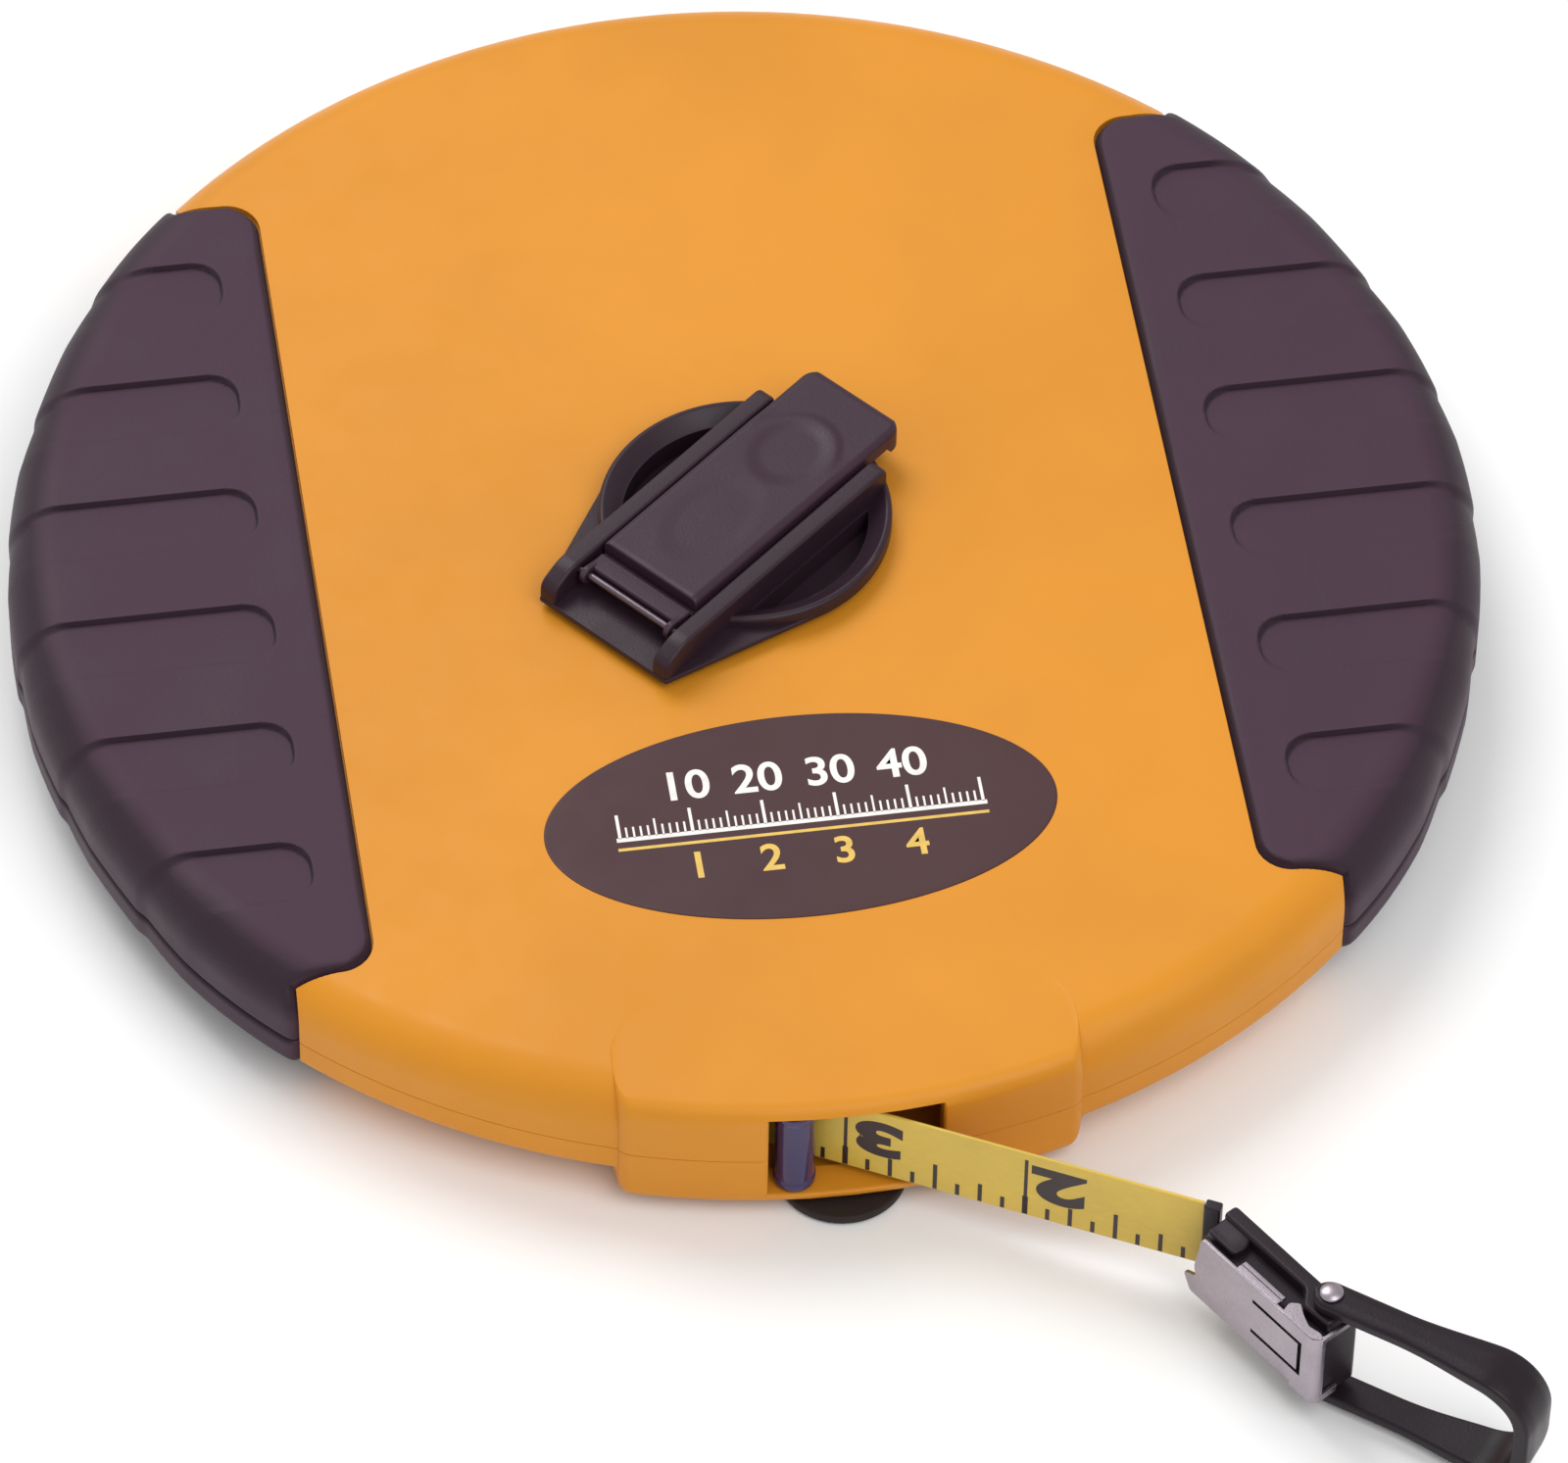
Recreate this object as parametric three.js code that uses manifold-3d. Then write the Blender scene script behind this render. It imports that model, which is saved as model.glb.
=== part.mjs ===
// A closed-reel tape measure: a flat round case in two shells with four soft grips, a reel wound by a
// folding crank on the front, a roller in the mouth, and a yellow tape that ends in a swivelling hook.
//
// Units are millimetres. The reel turns about +Z, the front of the case faces +Z and the mouth faces -Y.
// The origin is on the reel's axis, in the flat face of the rear pad that the case lies on.

import * as THREE from 'three';
import { mergeVertices } from 'three/addons/utils/BufferGeometryUtils.js';
import Module from 'manifold-3d';

const wasm = await Module();
wasm.setup();

// ---------------------------------------------------------------------------------------------------
// Driving dimensions
// ---------------------------------------------------------------------------------------------------

const GAP = 0.3; // clearance left between pieces that touch or turn on each other
const FAR = 200; // half the size of a cutting block that reaches past the whole object

// Case
const CASE_RADIUS = 103.55;
const CASE_LOW = 1.75;
const CASE_TOP = 22.35;
const SHOULDER = 6.6; // radius that rounds the case's front and rear edges
const WALL = 2;
const PARTING = 12.05; // height of the joint between the two shells
const PAD_RADIUS = 59; // flat pad on the rear shell, from the origin plane up to CASE_LOW
const PAD_BEVEL = 1.5;

// Grips
const GRIP_INNER_X = 61;
const GRIP_ENDS = { low: -71, high: 69.4, slant: 1.1 }; // the two ends, and how far they slant outwards
const GRIP_NOTCH_X = 72.2; // past this line a grip follows the rim on round, beyond its ends
const GRIP_CORNER = 5;
const GRIP_PROUD = 0.7;
const GRIP_POCKET = 1; // depth of the pocket that each grip sits in

// Front label
const LABEL_CENTRE_Y = -53;
const LABEL_HALF_WIDTH = 35.3;
const LABEL_HALF_HEIGHT = 17.8;
const LABEL_POCKET = 0.5;
const LABEL_PROUD = 0.15;

// Mouth
const MOUTH_RADIUS = 104.4; // the mouth block's front follows this arc about the reel's axis
const MOUTH_HALF_WIDTH = 31.5;
const MOUTH_EDGE = 2.2;
const MOUTH_STEP = 0.3; // how far the block's top and bottom stand below the case's faces
const OPENING = { left: -11.8, right: 11.8, low: 4.7, high: 20.5 };
const OPENING_DEPTH = 92; // radius that the opening is cut back to
const ROLLER = { x: -7.9, y: -100.95, radius: 3, bore: 1.3, pin: 1 };
const PIN_POCKET = 1; // depth of the pockets that hold the roller's pin, above and below the opening
const BUMPER = { x: -0.9, y: -97.6, radius: 9, low: 0.3, stem: 2 };

// Case screws, at these angles about the reel's axis
const SCREW_ANGLES = [0, 56, 124, -152, -52];
const SCREW_CIRCLE = 94.5;
const SCREW = { head: 2.6, shank: 1.2, seat: 4.5, tip: 18.5 };
const BOSS_RADIUS = 3.5;
const SCREW_HOLE = 1.5;
const HEAD_HOLE = 2.9;

// Reel
const PILLAR_RADIUS = 4;
const PILLAR_TOP = 10.5;
const DRUM_RADIUS = 22;
const DRUM_WALL = 2.2;
const DRUM_LOW = 4.95;
const DRUM_TOP = 20.05;
const WEB = { low: 14.5, high: 17.2 };
const SLEEVE_RADIUS = 8;
const CORE_LOW = 11;
const FLANGE_RADIUS = 90.3;
const FLANGE_THICKNESS = 0.7;
const COIL_RADIUS = 89.2;

// Tape and its hook
const TAPE = { low: 6, high: 19, thickness: 0.5 };
const TAPE_LINE_RADIUS = 89.7; // distance of the straight tape from the reel's axis
const TAPE_ANGLE = -27.4; // direction in which the tape leaves, in degrees from +X
const TAPE_START = -8; // along the tape, from the point where it leaves the coil
const TAPE_END = 95.6;
const TAB = { length: 2, thickness: 1.6 };
const HOOK_PIN = { x: 57, y: -143, radius: 1.2, head: 1.55, low: 0.2, high: 22.7 };
const HOOK_ANGLE = -58;
const HOOK_BODY = { back: -20.5, front: 2.9, near: -4.6, far: 1.6, low: 4.6, high: 19.5 };
const CLIP = { back: -19.5, slant: 3, front: 3.6, low: 6, high: 18.9, thickness: 0.6, lip: 1 };
const CLIP_SLOT = { back: -9, front: 0.8, low: 9.1, high: 16.1, width: 0.8 };
const LOOP_ANGLE = -37;
const LOOP = { length: 31.3, low: 1.1, high: 21.8, strip: 2, width: 4.6, endWidth: 7.4, bend: 8 };

// Crank, in its own frame: u along the lever, v across it
const CRANK_ANGLE = 40.7;
const DISC = { radius: 20.5, low: 23.3, high: 25.4 };
const SKIRT = { inset: 0.15, low: 23.5, high: 24.7 };
const HUB = { radius: 18.4, low: 17.5, opening: 18.9 };
const RAIL = { inner: 8.9, outer: 11.75, foot: 24, top: 29, shoulder: -26, end: -30, endTop: 27.3, front: 16.8 };
const LEVER = { halfWidth: 8.4, low: 27.3, high: 30, back: -20, tip: 23.3, lip: 1.2 };
const TONGUE = { back: -22.9, low: 26.6, high: 28.5 }; // thinner root of the lever, next to its hinge pin
const HINGE = { u: -24.4, z: 27.4, pin: 0.9, hole: 1.2, knuckle: 1.9, eye: 5.2, halfLength: 11.2 };
const KNOB = { u: 10.8, radius: 5.2, low: 20.3, high: 26.9, bore: 1.8, pin: 1.5, head: 3, well: 6.3, floor: 18.5 };
const CENTRE_SCREW = { head: 2.9, shank: 1.5, hole: 1.8, washer: 3.4, pocket: 3.7, seat: 21.5, tip: 12, core: 11.6 };

// Facets of the round pieces
const CASE_FACETS = 60;
const REEL_FACETS = 48;
const ROUND_FACETS = 24;
const SMALL_FACETS = 12;
const EDGE_STEPS = 4;

// ---------------------------------------------------------------------------------------------------
// Materials
// ---------------------------------------------------------------------------------------------------

function material(color, roughness, metalness) {
  return new THREE.MeshStandardMaterial({ color, roughness, metalness });
}

const ORANGE = material(0xe89f47, 0.45, 0);
const SOFT_GRIP = material(0x554650, 0.75, 0);
const BLACK_PLASTIC = material(0x4a3b45, 0.5, 0);
const HOOK_BLACK = material(0x2f2b2e, 0.45, 0);
const LABEL_INK = material(0x5a4549, 0.5, 0);
const TAPE_YELLOW = material(0xd6b25c, 0.5, 0);
const STEEL = material(0xaaa2a9, 0.3, 1);
const ROLLER_BLUE = material(0x4c3752, 0.3, 0);
const INNER_PLASTIC = material(0x3a3a3c, 0.6, 0);
const BRASS = material(0xb59a5b, 0.4, 1);

// ---------------------------------------------------------------------------------------------------
// Helpers
// ---------------------------------------------------------------------------------------------------

// Turns a closed three.js geometry into a manifold solid.
function solid(geometry) {
  const bare = geometry.clone();
  bare.deleteAttribute('normal');
  bare.deleteAttribute('uv');
  const merged = mergeVertices(bare, 1e-5);
  return new wasm.Manifold(new wasm.Mesh({
    numProp: 3,
    vertProperties: new Float32Array(merged.attributes.position.array),
    triVerts: new Uint32Array(merged.index.array),
  }));
}

// Turns a manifold solid back into a three.js geometry.
function geometryOf(body) {
  const { vertProperties, triVerts } = body.getMesh();
  const geometry = new THREE.BufferGeometry();
  geometry.setAttribute('position', new THREE.BufferAttribute(vertProperties, 3));
  geometry.setIndex(new THREE.BufferAttribute(triVerts, 1));
  geometry.computeVertexNormals();
  return geometry;
}

function mesh(name, body, look) {
  const piece = new THREE.Mesh(geometryOf(body), look);
  piece.name = name;
  return piece;
}

function box(x, y, z) {
  const geometry = new THREE.BoxGeometry(x[1] - x[0], y[1] - y[0], z[1] - z[0]);
  return solid(geometry.translate((x[0] + x[1]) / 2, (y[0] + y[1]) / 2, (z[0] + z[1]) / 2));
}

// An upright cylinder between two heights.
function cylinder(radius, low, high, { x = 0, y = 0, facets = ROUND_FACETS } = {}) {
  const geometry = new THREE.CylinderGeometry(radius, radius, high - low, facets);
  return solid(geometry.rotateX(Math.PI / 2).translate(x, y, (low + high) / 2));
}

function ring(inner, outer, low, high, { x = 0, y = 0, facets = ROUND_FACETS } = {}) {
  const bore = cylinder(inner, low - 1, high + 1, { x, y, facets });
  return cylinder(outer, low, high, { x, y, facets }).subtract(bore);
}

// A level cylinder that lies along Y, centred on y = 0.
function crossbar(radius, halfLength, x, z, facets = SMALL_FACETS) {
  const geometry = new THREE.CylinderGeometry(radius, radius, 2 * halfLength, facets);
  return solid(geometry.translate(x, 0, z));
}

// An outline in the XY plane, raised between two heights.
function raised(shape, low, high, curveSegments = SMALL_FACETS) {
  const geometry = new THREE.ExtrudeGeometry(shape, { depth: high - low, bevelEnabled: false, curveSegments });
  return solid(geometry.translate(0, 0, low));
}

// An outline drawn as (x, z), given its width along Y between two places.
function upright(shape, near, far, curveSegments = SMALL_FACETS) {
  const geometry = new THREE.ExtrudeGeometry(shape, { depth: far - near, bevelEnabled: false, curveSegments });
  return solid(geometry.rotateX(Math.PI / 2).translate(0, far, 0));
}

// A disc about the reel's axis whose two edges are rounded.
function roundedDisc(radius, low, high, edge, facets = CASE_FACETS) {
  const outline = [new THREE.Vector2(0, low)];
  for (const [centreZ, start] of [[low + edge, -90], [high - edge, 0]]) {
    for (let step = 0; step <= EDGE_STEPS; step += 1) {
      const angle = THREE.MathUtils.degToRad(start + (90 * step) / EDGE_STEPS);
      outline.push(new THREE.Vector2(radius - edge + edge * Math.cos(angle), centreZ + edge * Math.sin(angle)));
    }
  }
  outline.push(new THREE.Vector2(0, high));
  return solid(new THREE.LatheGeometry(outline, facets).rotateX(Math.PI / 2));
}

// The case's outer shape, moved outwards by an offset.
function caseBody(offset) {
  return roundedDisc(CASE_RADIUS + offset, CASE_LOW - offset, CASE_TOP + offset, SHOULDER + offset);
}

function polar(radius, degrees) {
  const angle = THREE.MathUtils.degToRad(degrees);
  return { x: radius * Math.cos(angle), y: radius * Math.sin(angle) };
}

const ALL = [-FAR, FAR];
const FRONT_HALF = box(ALL, ALL, [PARTING + GAP / 2, FAR]);
const REAR_HALF = box(ALL, ALL, [-FAR, PARTING - GAP / 2]);

// ---------------------------------------------------------------------------------------------------
// Case
// ---------------------------------------------------------------------------------------------------

// Plan of a grip: straight inner edge, rounded inner corners, slanted ends and a strip along the rim.
function gripPlan(side, margin) {
  const inner = GRIP_INNER_X - margin;
  const notch = GRIP_NOTCH_X - margin;
  const low = GRIP_ENDS.low - margin;
  const high = GRIP_ENDS.high + margin;
  const shape = new THREE.Shape();
  shape.moveTo(side * FAR, -FAR);
  shape.lineTo(side * FAR, FAR);
  shape.lineTo(side * notch, FAR);
  shape.lineTo(side * notch, high + GRIP_ENDS.slant);
  shape.lineTo(side * (inner + GRIP_CORNER), high);
  shape.quadraticCurveTo(side * inner, high, side * inner, high - GRIP_CORNER);
  shape.lineTo(side * inner, low + GRIP_CORNER);
  shape.quadraticCurveTo(side * inner, low, side * (inner + GRIP_CORNER), low);
  shape.lineTo(side * notch, low - GRIP_ENDS.slant);
  shape.lineTo(side * notch, -FAR);
  return raised(shape, -FAR, FAR, EDGE_STEPS);
}

function gripPockets() {
  const outside = box(ALL, ALL, ALL).subtract(caseBody(-GRIP_POCKET));
  return gripPlan(1, GAP).add(gripPlan(-1, GAP)).intersect(outside);
}

function mouthBlock() {
  const body = roundedDisc(MOUTH_RADIUS, CASE_LOW + MOUTH_STEP, CASE_TOP - MOUTH_STEP, MOUTH_EDGE);
  return body.intersect(box([-MOUTH_HALF_WIDTH, MOUTH_HALF_WIDTH], [-FAR, -85], ALL));
}

// Both shells start from this: outer shape with the mouth block, less the hollow, pockets and opening.
function shell(half) {
  const opening = box(
    [OPENING.left, OPENING.right],
    [-FAR, -OPENING_DEPTH],
    [OPENING.low, OPENING.high],
  );
  const pin = cylinder(
    ROLLER.bore,
    OPENING.low - PIN_POCKET,
    OPENING.high + PIN_POCKET,
    { x: ROLLER.x, y: ROLLER.y, facets: SMALL_FACETS },
  );
  return caseBody(0)
    .add(mouthBlock())
    .subtract(caseBody(-WALL))
    .subtract(gripPockets())
    .subtract(opening)
    .subtract(pin)
    .intersect(half);
}

function screwPlaces() {
  return SCREW_ANGLES.map((angle) => polar(SCREW_CIRCLE, angle));
}

function labelPlan(margin) {
  const shape = new THREE.Shape();
  shape.absellipse(0, LABEL_CENTRE_Y, LABEL_HALF_WIDTH + margin, LABEL_HALF_HEIGHT + margin, 0, 2 * Math.PI);
  return shape;
}

function frontCover() {
  let cover = shell(FRONT_HALF);
  for (const place of screwPlaces()) {
    cover = cover
      .add(cylinder(BOSS_RADIUS, PARTING + GAP / 2, CASE_TOP - WALL + 0.5, { ...place, facets: SMALL_FACETS }))
      .subtract(cylinder(SCREW_HOLE, 0, SCREW.tip + GAP, { ...place, facets: SMALL_FACETS }));
  }
  return cover
    .subtract(cylinder(HUB.opening, PARTING, FAR, { facets: REEL_FACETS }))
    .subtract(raised(labelPlan(GAP), CASE_TOP - LABEL_POCKET, FAR, ROUND_FACETS));
}

function rearCover() {
  const pad = new THREE.CylinderGeometry(PAD_RADIUS, PAD_RADIUS - PAD_BEVEL, CASE_LOW + 1, CASE_FACETS);
  pad.rotateX(Math.PI / 2).translate(0, 0, (CASE_LOW + 1) / 2);
  let cover = shell(REAR_HALF)
    .add(solid(pad))
    .add(cylinder(PILLAR_RADIUS, CASE_LOW + WALL - 0.5, PILLAR_TOP));
  for (const place of screwPlaces()) {
    cover = cover
      .add(cylinder(BOSS_RADIUS, CASE_LOW + GRIP_POCKET + 0.5, PARTING - GAP / 2, { ...place, facets: SMALL_FACETS }))
      .subtract(cylinder(HEAD_HOLE, -1, SCREW.seat, { ...place, facets: SMALL_FACETS }))
      .subtract(cylinder(SCREW_HOLE, -1, FAR, { ...place, facets: SMALL_FACETS }));
  }
  const stemHole = { x: BUMPER.x, y: BUMPER.y, facets: SMALL_FACETS };
  return cover.subtract(cylinder(BUMPER.stem + GAP, -1, OPENING.low - 1, stemHole));
}

// One grip: the skin between its pocket's floor and the proud outer face, on one side and one shell.
function grip(side, half) {
  let skin = caseBody(GRIP_PROUD)
    .subtract(caseBody(GAP - GRIP_POCKET))
    .intersect(gripPlan(side, 0))
    .intersect(half);
  for (const place of screwPlaces()) {
    skin = skin.subtract(cylinder(HEAD_HOLE + GAP, -FAR, CASE_LOW + WALL, { ...place, facets: SMALL_FACETS }));
  }
  return skin;
}

function frontLabel() {
  return raised(labelPlan(0), CASE_TOP - LABEL_POCKET + GAP, CASE_TOP + LABEL_PROUD, ROUND_FACETS);
}

function mouthRoller() {
  const place = { x: ROLLER.x, y: ROLLER.y, facets: ROUND_FACETS };
  return ring(ROLLER.bore, ROLLER.radius, OPENING.low + GAP, OPENING.high - GAP, place);
}

function rollerPin() {
  const place = { x: ROLLER.x, y: ROLLER.y, facets: SMALL_FACETS };
  return cylinder(ROLLER.pin, OPENING.low - PIN_POCKET + GAP, OPENING.high + PIN_POCKET - GAP, place);
}

// A round rubber bumper under the mouth, pushed into the rear shell by its stem.
function mouthBumper() {
  const place = { x: BUMPER.x, y: BUMPER.y };
  const disc = cylinder(BUMPER.radius, BUMPER.low, CASE_LOW - GAP, { ...place, facets: ROUND_FACETS });
  return disc.add(cylinder(BUMPER.stem, BUMPER.low, OPENING.low - 1 - GAP, { ...place, facets: SMALL_FACETS }));
}

function caseScrew(angle) {
  const place = { ...polar(SCREW_CIRCLE, angle), facets: SMALL_FACETS };
  const head = cylinder(SCREW.head, CASE_LOW + GAP, SCREW.seat - GAP, place);
  return head.add(cylinder(SCREW.shank, SCREW.seat - 1, SCREW.tip, place));
}

function caseGroup() {
  const group = new THREE.Group();
  group.add(mesh('front_cover', frontCover(), ORANGE));
  group.add(mesh('rear_cover', rearCover(), ORANGE));
  for (const [sideName, side] of [['left', -1], ['right', 1]]) {
    group.add(mesh(`front_grip_${sideName}`, grip(side, FRONT_HALF), SOFT_GRIP));
    group.add(mesh(`rear_grip_${sideName}`, grip(side, REAR_HALF), SOFT_GRIP));
  }
  group.add(mesh('front_label', frontLabel(), LABEL_INK));
  group.add(mesh('mouth_roller', mouthRoller(), ROLLER_BLUE));
  group.add(mesh('roller_pin', rollerPin(), STEEL));
  group.add(mesh('mouth_bumper', mouthBumper(), HOOK_BLACK));
  SCREW_ANGLES.forEach((angle, index) => {
    group.add(mesh(`case_screw_${index + 1}`, caseScrew(angle), STEEL));
  });
  return group;
}

// ---------------------------------------------------------------------------------------------------
// Reel
// ---------------------------------------------------------------------------------------------------

// The drum: an outer wall, a web that the crank's hub stands on, and a sleeve that turns on the pillar.
function reelDrum() {
  const wall = ring(DRUM_RADIUS - DRUM_WALL, DRUM_RADIUS, DRUM_LOW, DRUM_TOP, { facets: REEL_FACETS });
  const web = cylinder(DRUM_RADIUS - 0.5, WEB.low, WEB.high, { facets: REEL_FACETS });
  const sleeve = cylinder(SLEEVE_RADIUS, DRUM_LOW, WEB.low + 0.5);
  const bore = cylinder(PILLAR_RADIUS + 1.9, 0, CORE_LOW);
  const screwHole = cylinder(CENTRE_SCREW.hole, CENTRE_SCREW.core, FAR, { facets: SMALL_FACETS });
  return wall.add(web).add(sleeve).subtract(bore).subtract(screwHole);
}

function reelFlange(low) {
  return ring(DRUM_RADIUS + GAP, FLANGE_RADIUS, low, low + FLANGE_THICKNESS, { facets: REEL_FACETS });
}

function tapeCoil() {
  return ring(DRUM_RADIUS + GAP, COIL_RADIUS, TAPE.low, TAPE.high, { facets: REEL_FACETS });
}

// The pin in the drum that the tape's inner end is looped round.
function tapeAnchor() {
  const place = { x: DRUM_RADIUS - DRUM_WALL - 2, facets: SMALL_FACETS };
  return cylinder(1.2, TAPE.low, WEB.low - GAP, place);
}

function reelGroup() {
  const group = new THREE.Group();
  const bushingBore = PILLAR_RADIUS + GAP;
  const washerLow = CASE_LOW + WALL + GAP;
  group.add(mesh('reel_drum', reelDrum(), INNER_PLASTIC));
  group.add(mesh('reel_flange_rear', reelFlange(DRUM_LOW), INNER_PLASTIC));
  group.add(mesh('reel_flange_front', reelFlange(TAPE.high + GAP), INNER_PLASTIC));
  group.add(mesh('tape_coil', tapeCoil(), TAPE_YELLOW));
  group.add(mesh('tape_anchor_pin', tapeAnchor(), STEEL));
  group.add(mesh('drum_bushing', ring(bushingBore, bushingBore + 1.3, DRUM_LOW, PILLAR_TOP), BRASS));
  group.add(mesh('thrust_washer', ring(bushingBore, SLEEVE_RADIUS + 0.5, washerLow, DRUM_LOW - GAP), STEEL));
  return group;
}

// ---------------------------------------------------------------------------------------------------
// Crank
// ---------------------------------------------------------------------------------------------------

// Side view of a rail, with its top sloping down to the hinge end.
function railSide() {
  const shape = new THREE.Shape();
  shape.moveTo(RAIL.end, RAIL.foot);
  shape.lineTo(RAIL.front, RAIL.foot);
  shape.lineTo(RAIL.front, RAIL.top);
  shape.lineTo(RAIL.shoulder, RAIL.top);
  shape.lineTo(RAIL.end, RAIL.endTop);
  return shape;
}

// Plan of the skirt that joins the disc to the hinge end, along the disc's tangents.
function skirtPlan() {
  const radius = DISC.radius - SKIRT.inset;
  const half = RAIL.outer - SKIRT.inset;
  const end = RAIL.end + SKIRT.inset;
  const tangent = Math.atan2(half, end) - Math.acos(radius / Math.hypot(end, half));
  const touch = { u: radius * Math.cos(tangent), v: radius * Math.sin(tangent) };
  const shape = new THREE.Shape();
  shape.moveTo(end, -half);
  shape.lineTo(touch.u, -touch.v);
  shape.lineTo(touch.u, touch.v);
  shape.lineTo(end, half);
  return shape;
}

function crankBase() {
  let base = cylinder(DISC.radius, DISC.low, DISC.high, { facets: REEL_FACETS })
    .add(cylinder(HUB.radius, HUB.low, DISC.low + 0.5, { facets: REEL_FACETS }))
    .add(raised(skirtPlan(), SKIRT.low, SKIRT.high));
  for (const near of [-RAIL.outer, RAIL.inner]) {
    base = base.add(upright(railSide(), near, near + RAIL.outer - RAIL.inner));
  }
  return base
    .subtract(crossbar(HINGE.hole, RAIL.outer - 0.25, HINGE.u, HINGE.z))
    .subtract(cylinder(KNOB.well, KNOB.floor, FAR, { x: KNOB.u }))
    .subtract(cylinder(CENTRE_SCREW.pocket, CENTRE_SCREW.seat, FAR))
    .subtract(cylinder(CENTRE_SCREW.hole, 0, FAR, { facets: SMALL_FACETS }));
}

// The folding lever: a flat with a lip at its tip, and at its root two eyes on the hinge pin.
function crankArm() {
  const half = LEVER.halfWidth;
  const width = [-half, half];
  const root = [-half + 0.2, half - 0.2];
  const eyes = crossbar(HINGE.knuckle, half - 0.2, HINGE.u, HINGE.z, ROUND_FACETS)
    .add(box([HINGE.u, TONGUE.back + 0.5], root, [TONGUE.low + 0.15, TONGUE.high - 0.15]))
    .subtract(box([-FAR, TONGUE.back], [-HINGE.eye, HINGE.eye], ALL));
  return box([LEVER.back, LEVER.tip], width, [LEVER.low, LEVER.high])
    .add(box([DISC.radius + 0.5, LEVER.tip], width, [LEVER.low - LEVER.lip, LEVER.high]))
    .add(box([TONGUE.back, LEVER.back + 0.5], root, [TONGUE.low, TONGUE.high]))
    .add(eyes)
    .subtract(crossbar(HINGE.hole, FAR, HINGE.u, HINGE.z))
    .subtract(cylinder(KNOB.bore, 0, LEVER.high - 1, { x: KNOB.u, facets: SMALL_FACETS }));
}

function crankKnob() {
  return cylinder(KNOB.radius, KNOB.low, KNOB.high, { x: KNOB.u })
    .subtract(cylinder(KNOB.bore, 0, FAR, { x: KNOB.u, facets: SMALL_FACETS }))
    .subtract(cylinder(KNOB.head + GAP, 0, KNOB.low + 1.6, { x: KNOB.u, facets: SMALL_FACETS }));
}

function knobPin() {
  const head = cylinder(KNOB.head, KNOB.low, KNOB.low + 1.3, { x: KNOB.u, facets: SMALL_FACETS });
  return head.add(cylinder(KNOB.pin, KNOB.low, LEVER.high - 1 - GAP, { x: KNOB.u, facets: SMALL_FACETS }));
}

function centreScrew() {
  const seat = CENTRE_SCREW.seat + 2 * GAP + 0.5;
  const head = cylinder(CENTRE_SCREW.head, seat, seat + 2, { facets: SMALL_FACETS });
  return head.add(cylinder(CENTRE_SCREW.shank, CENTRE_SCREW.tip, seat + 0.5, { facets: SMALL_FACETS }));
}

function centreWasher() {
  const low = CENTRE_SCREW.seat + GAP;
  return ring(CENTRE_SCREW.hole, CENTRE_SCREW.washer, low, low + 0.5, { facets: ROUND_FACETS });
}

function crankGroup() {
  const group = new THREE.Group();
  group.rotation.z = THREE.MathUtils.degToRad(CRANK_ANGLE);
  group.add(mesh('crank_base', crankBase(), BLACK_PLASTIC));
  group.add(mesh('crank_arm', crankArm(), BLACK_PLASTIC));
  group.add(mesh('crank_hinge_pin', crossbar(HINGE.pin, HINGE.halfLength, HINGE.u, HINGE.z), STEEL));
  group.add(mesh('crank_knob', crankKnob(), BLACK_PLASTIC));
  group.add(mesh('knob_pin', knobPin(), STEEL));
  group.add(mesh('crank_screw', centreScrew(), STEEL));
  group.add(mesh('crank_washer', centreWasher(), STEEL));
  return group;
}

// ---------------------------------------------------------------------------------------------------
// Tape and hook
// ---------------------------------------------------------------------------------------------------

// The straight tape and its end tab, along X from the point where the tape leaves the coil.
function tapeGroup() {
  const half = TAPE.thickness / 2;
  const tabStart = TAPE_END + GAP;
  const tabHalf = TAB.thickness / 2;
  const place = polar(TAPE_LINE_RADIUS, TAPE_ANGLE - 90);
  const group = new THREE.Group();
  group.position.set(place.x, place.y, 0);
  group.rotation.z = THREE.MathUtils.degToRad(TAPE_ANGLE);
  const lead = box([TAPE_START, TAPE_END], [-half, half], [TAPE.low, TAPE.high]);
  const tab = box([tabStart, tabStart + TAB.length], [-tabHalf, tabHalf], [TAPE.low, TAPE.high]);
  group.add(mesh('tape_lead', lead, TAPE_YELLOW));
  group.add(mesh('tape_end_tab', tab, HOOK_BLACK));
  return group;
}

function hookBody() {
  const { back, front, near, far, low, high } = HOOK_BODY;
  return box([back, front], [near, far], [low, high])
    .subtract(cylinder(HOOK_PIN.radius + GAP, 0, FAR, { facets: SMALL_FACETS }));
}

// Stamped steel plate on the hook body's near side, with a springy tongue cut out by a U-shaped slot.
function hookClip() {
  const { back, slant, front, low, high } = CLIP;
  const plate = new THREE.Shape();
  plate.moveTo(back - slant, low);
  plate.lineTo(front, low);
  plate.lineTo(front, high);
  plate.lineTo(back, high);
  const face = HOOK_BODY.near - GAP;
  const slots = [
    [[CLIP_SLOT.back, CLIP_SLOT.front], [CLIP_SLOT.low, CLIP_SLOT.low + CLIP_SLOT.width]],
    [[CLIP_SLOT.back, CLIP_SLOT.front], [CLIP_SLOT.high - CLIP_SLOT.width, CLIP_SLOT.high]],
    [[CLIP_SLOT.front - CLIP_SLOT.width, CLIP_SLOT.front], [CLIP_SLOT.low, CLIP_SLOT.high]],
  ];
  let clip = upright(plate, face - CLIP.thickness, face);
  for (const [x, z] of slots) {
    clip = clip.subtract(box(x, [-FAR, face + 0.1], z));
  }
  const wrapX = [HOOK_BODY.front + GAP, HOOK_BODY.front + GAP + CLIP.thickness];
  return clip.add(box(wrapX, [face - CLIP.thickness, HOOK_BODY.near + CLIP.lip], [low, high]));
}

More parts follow.
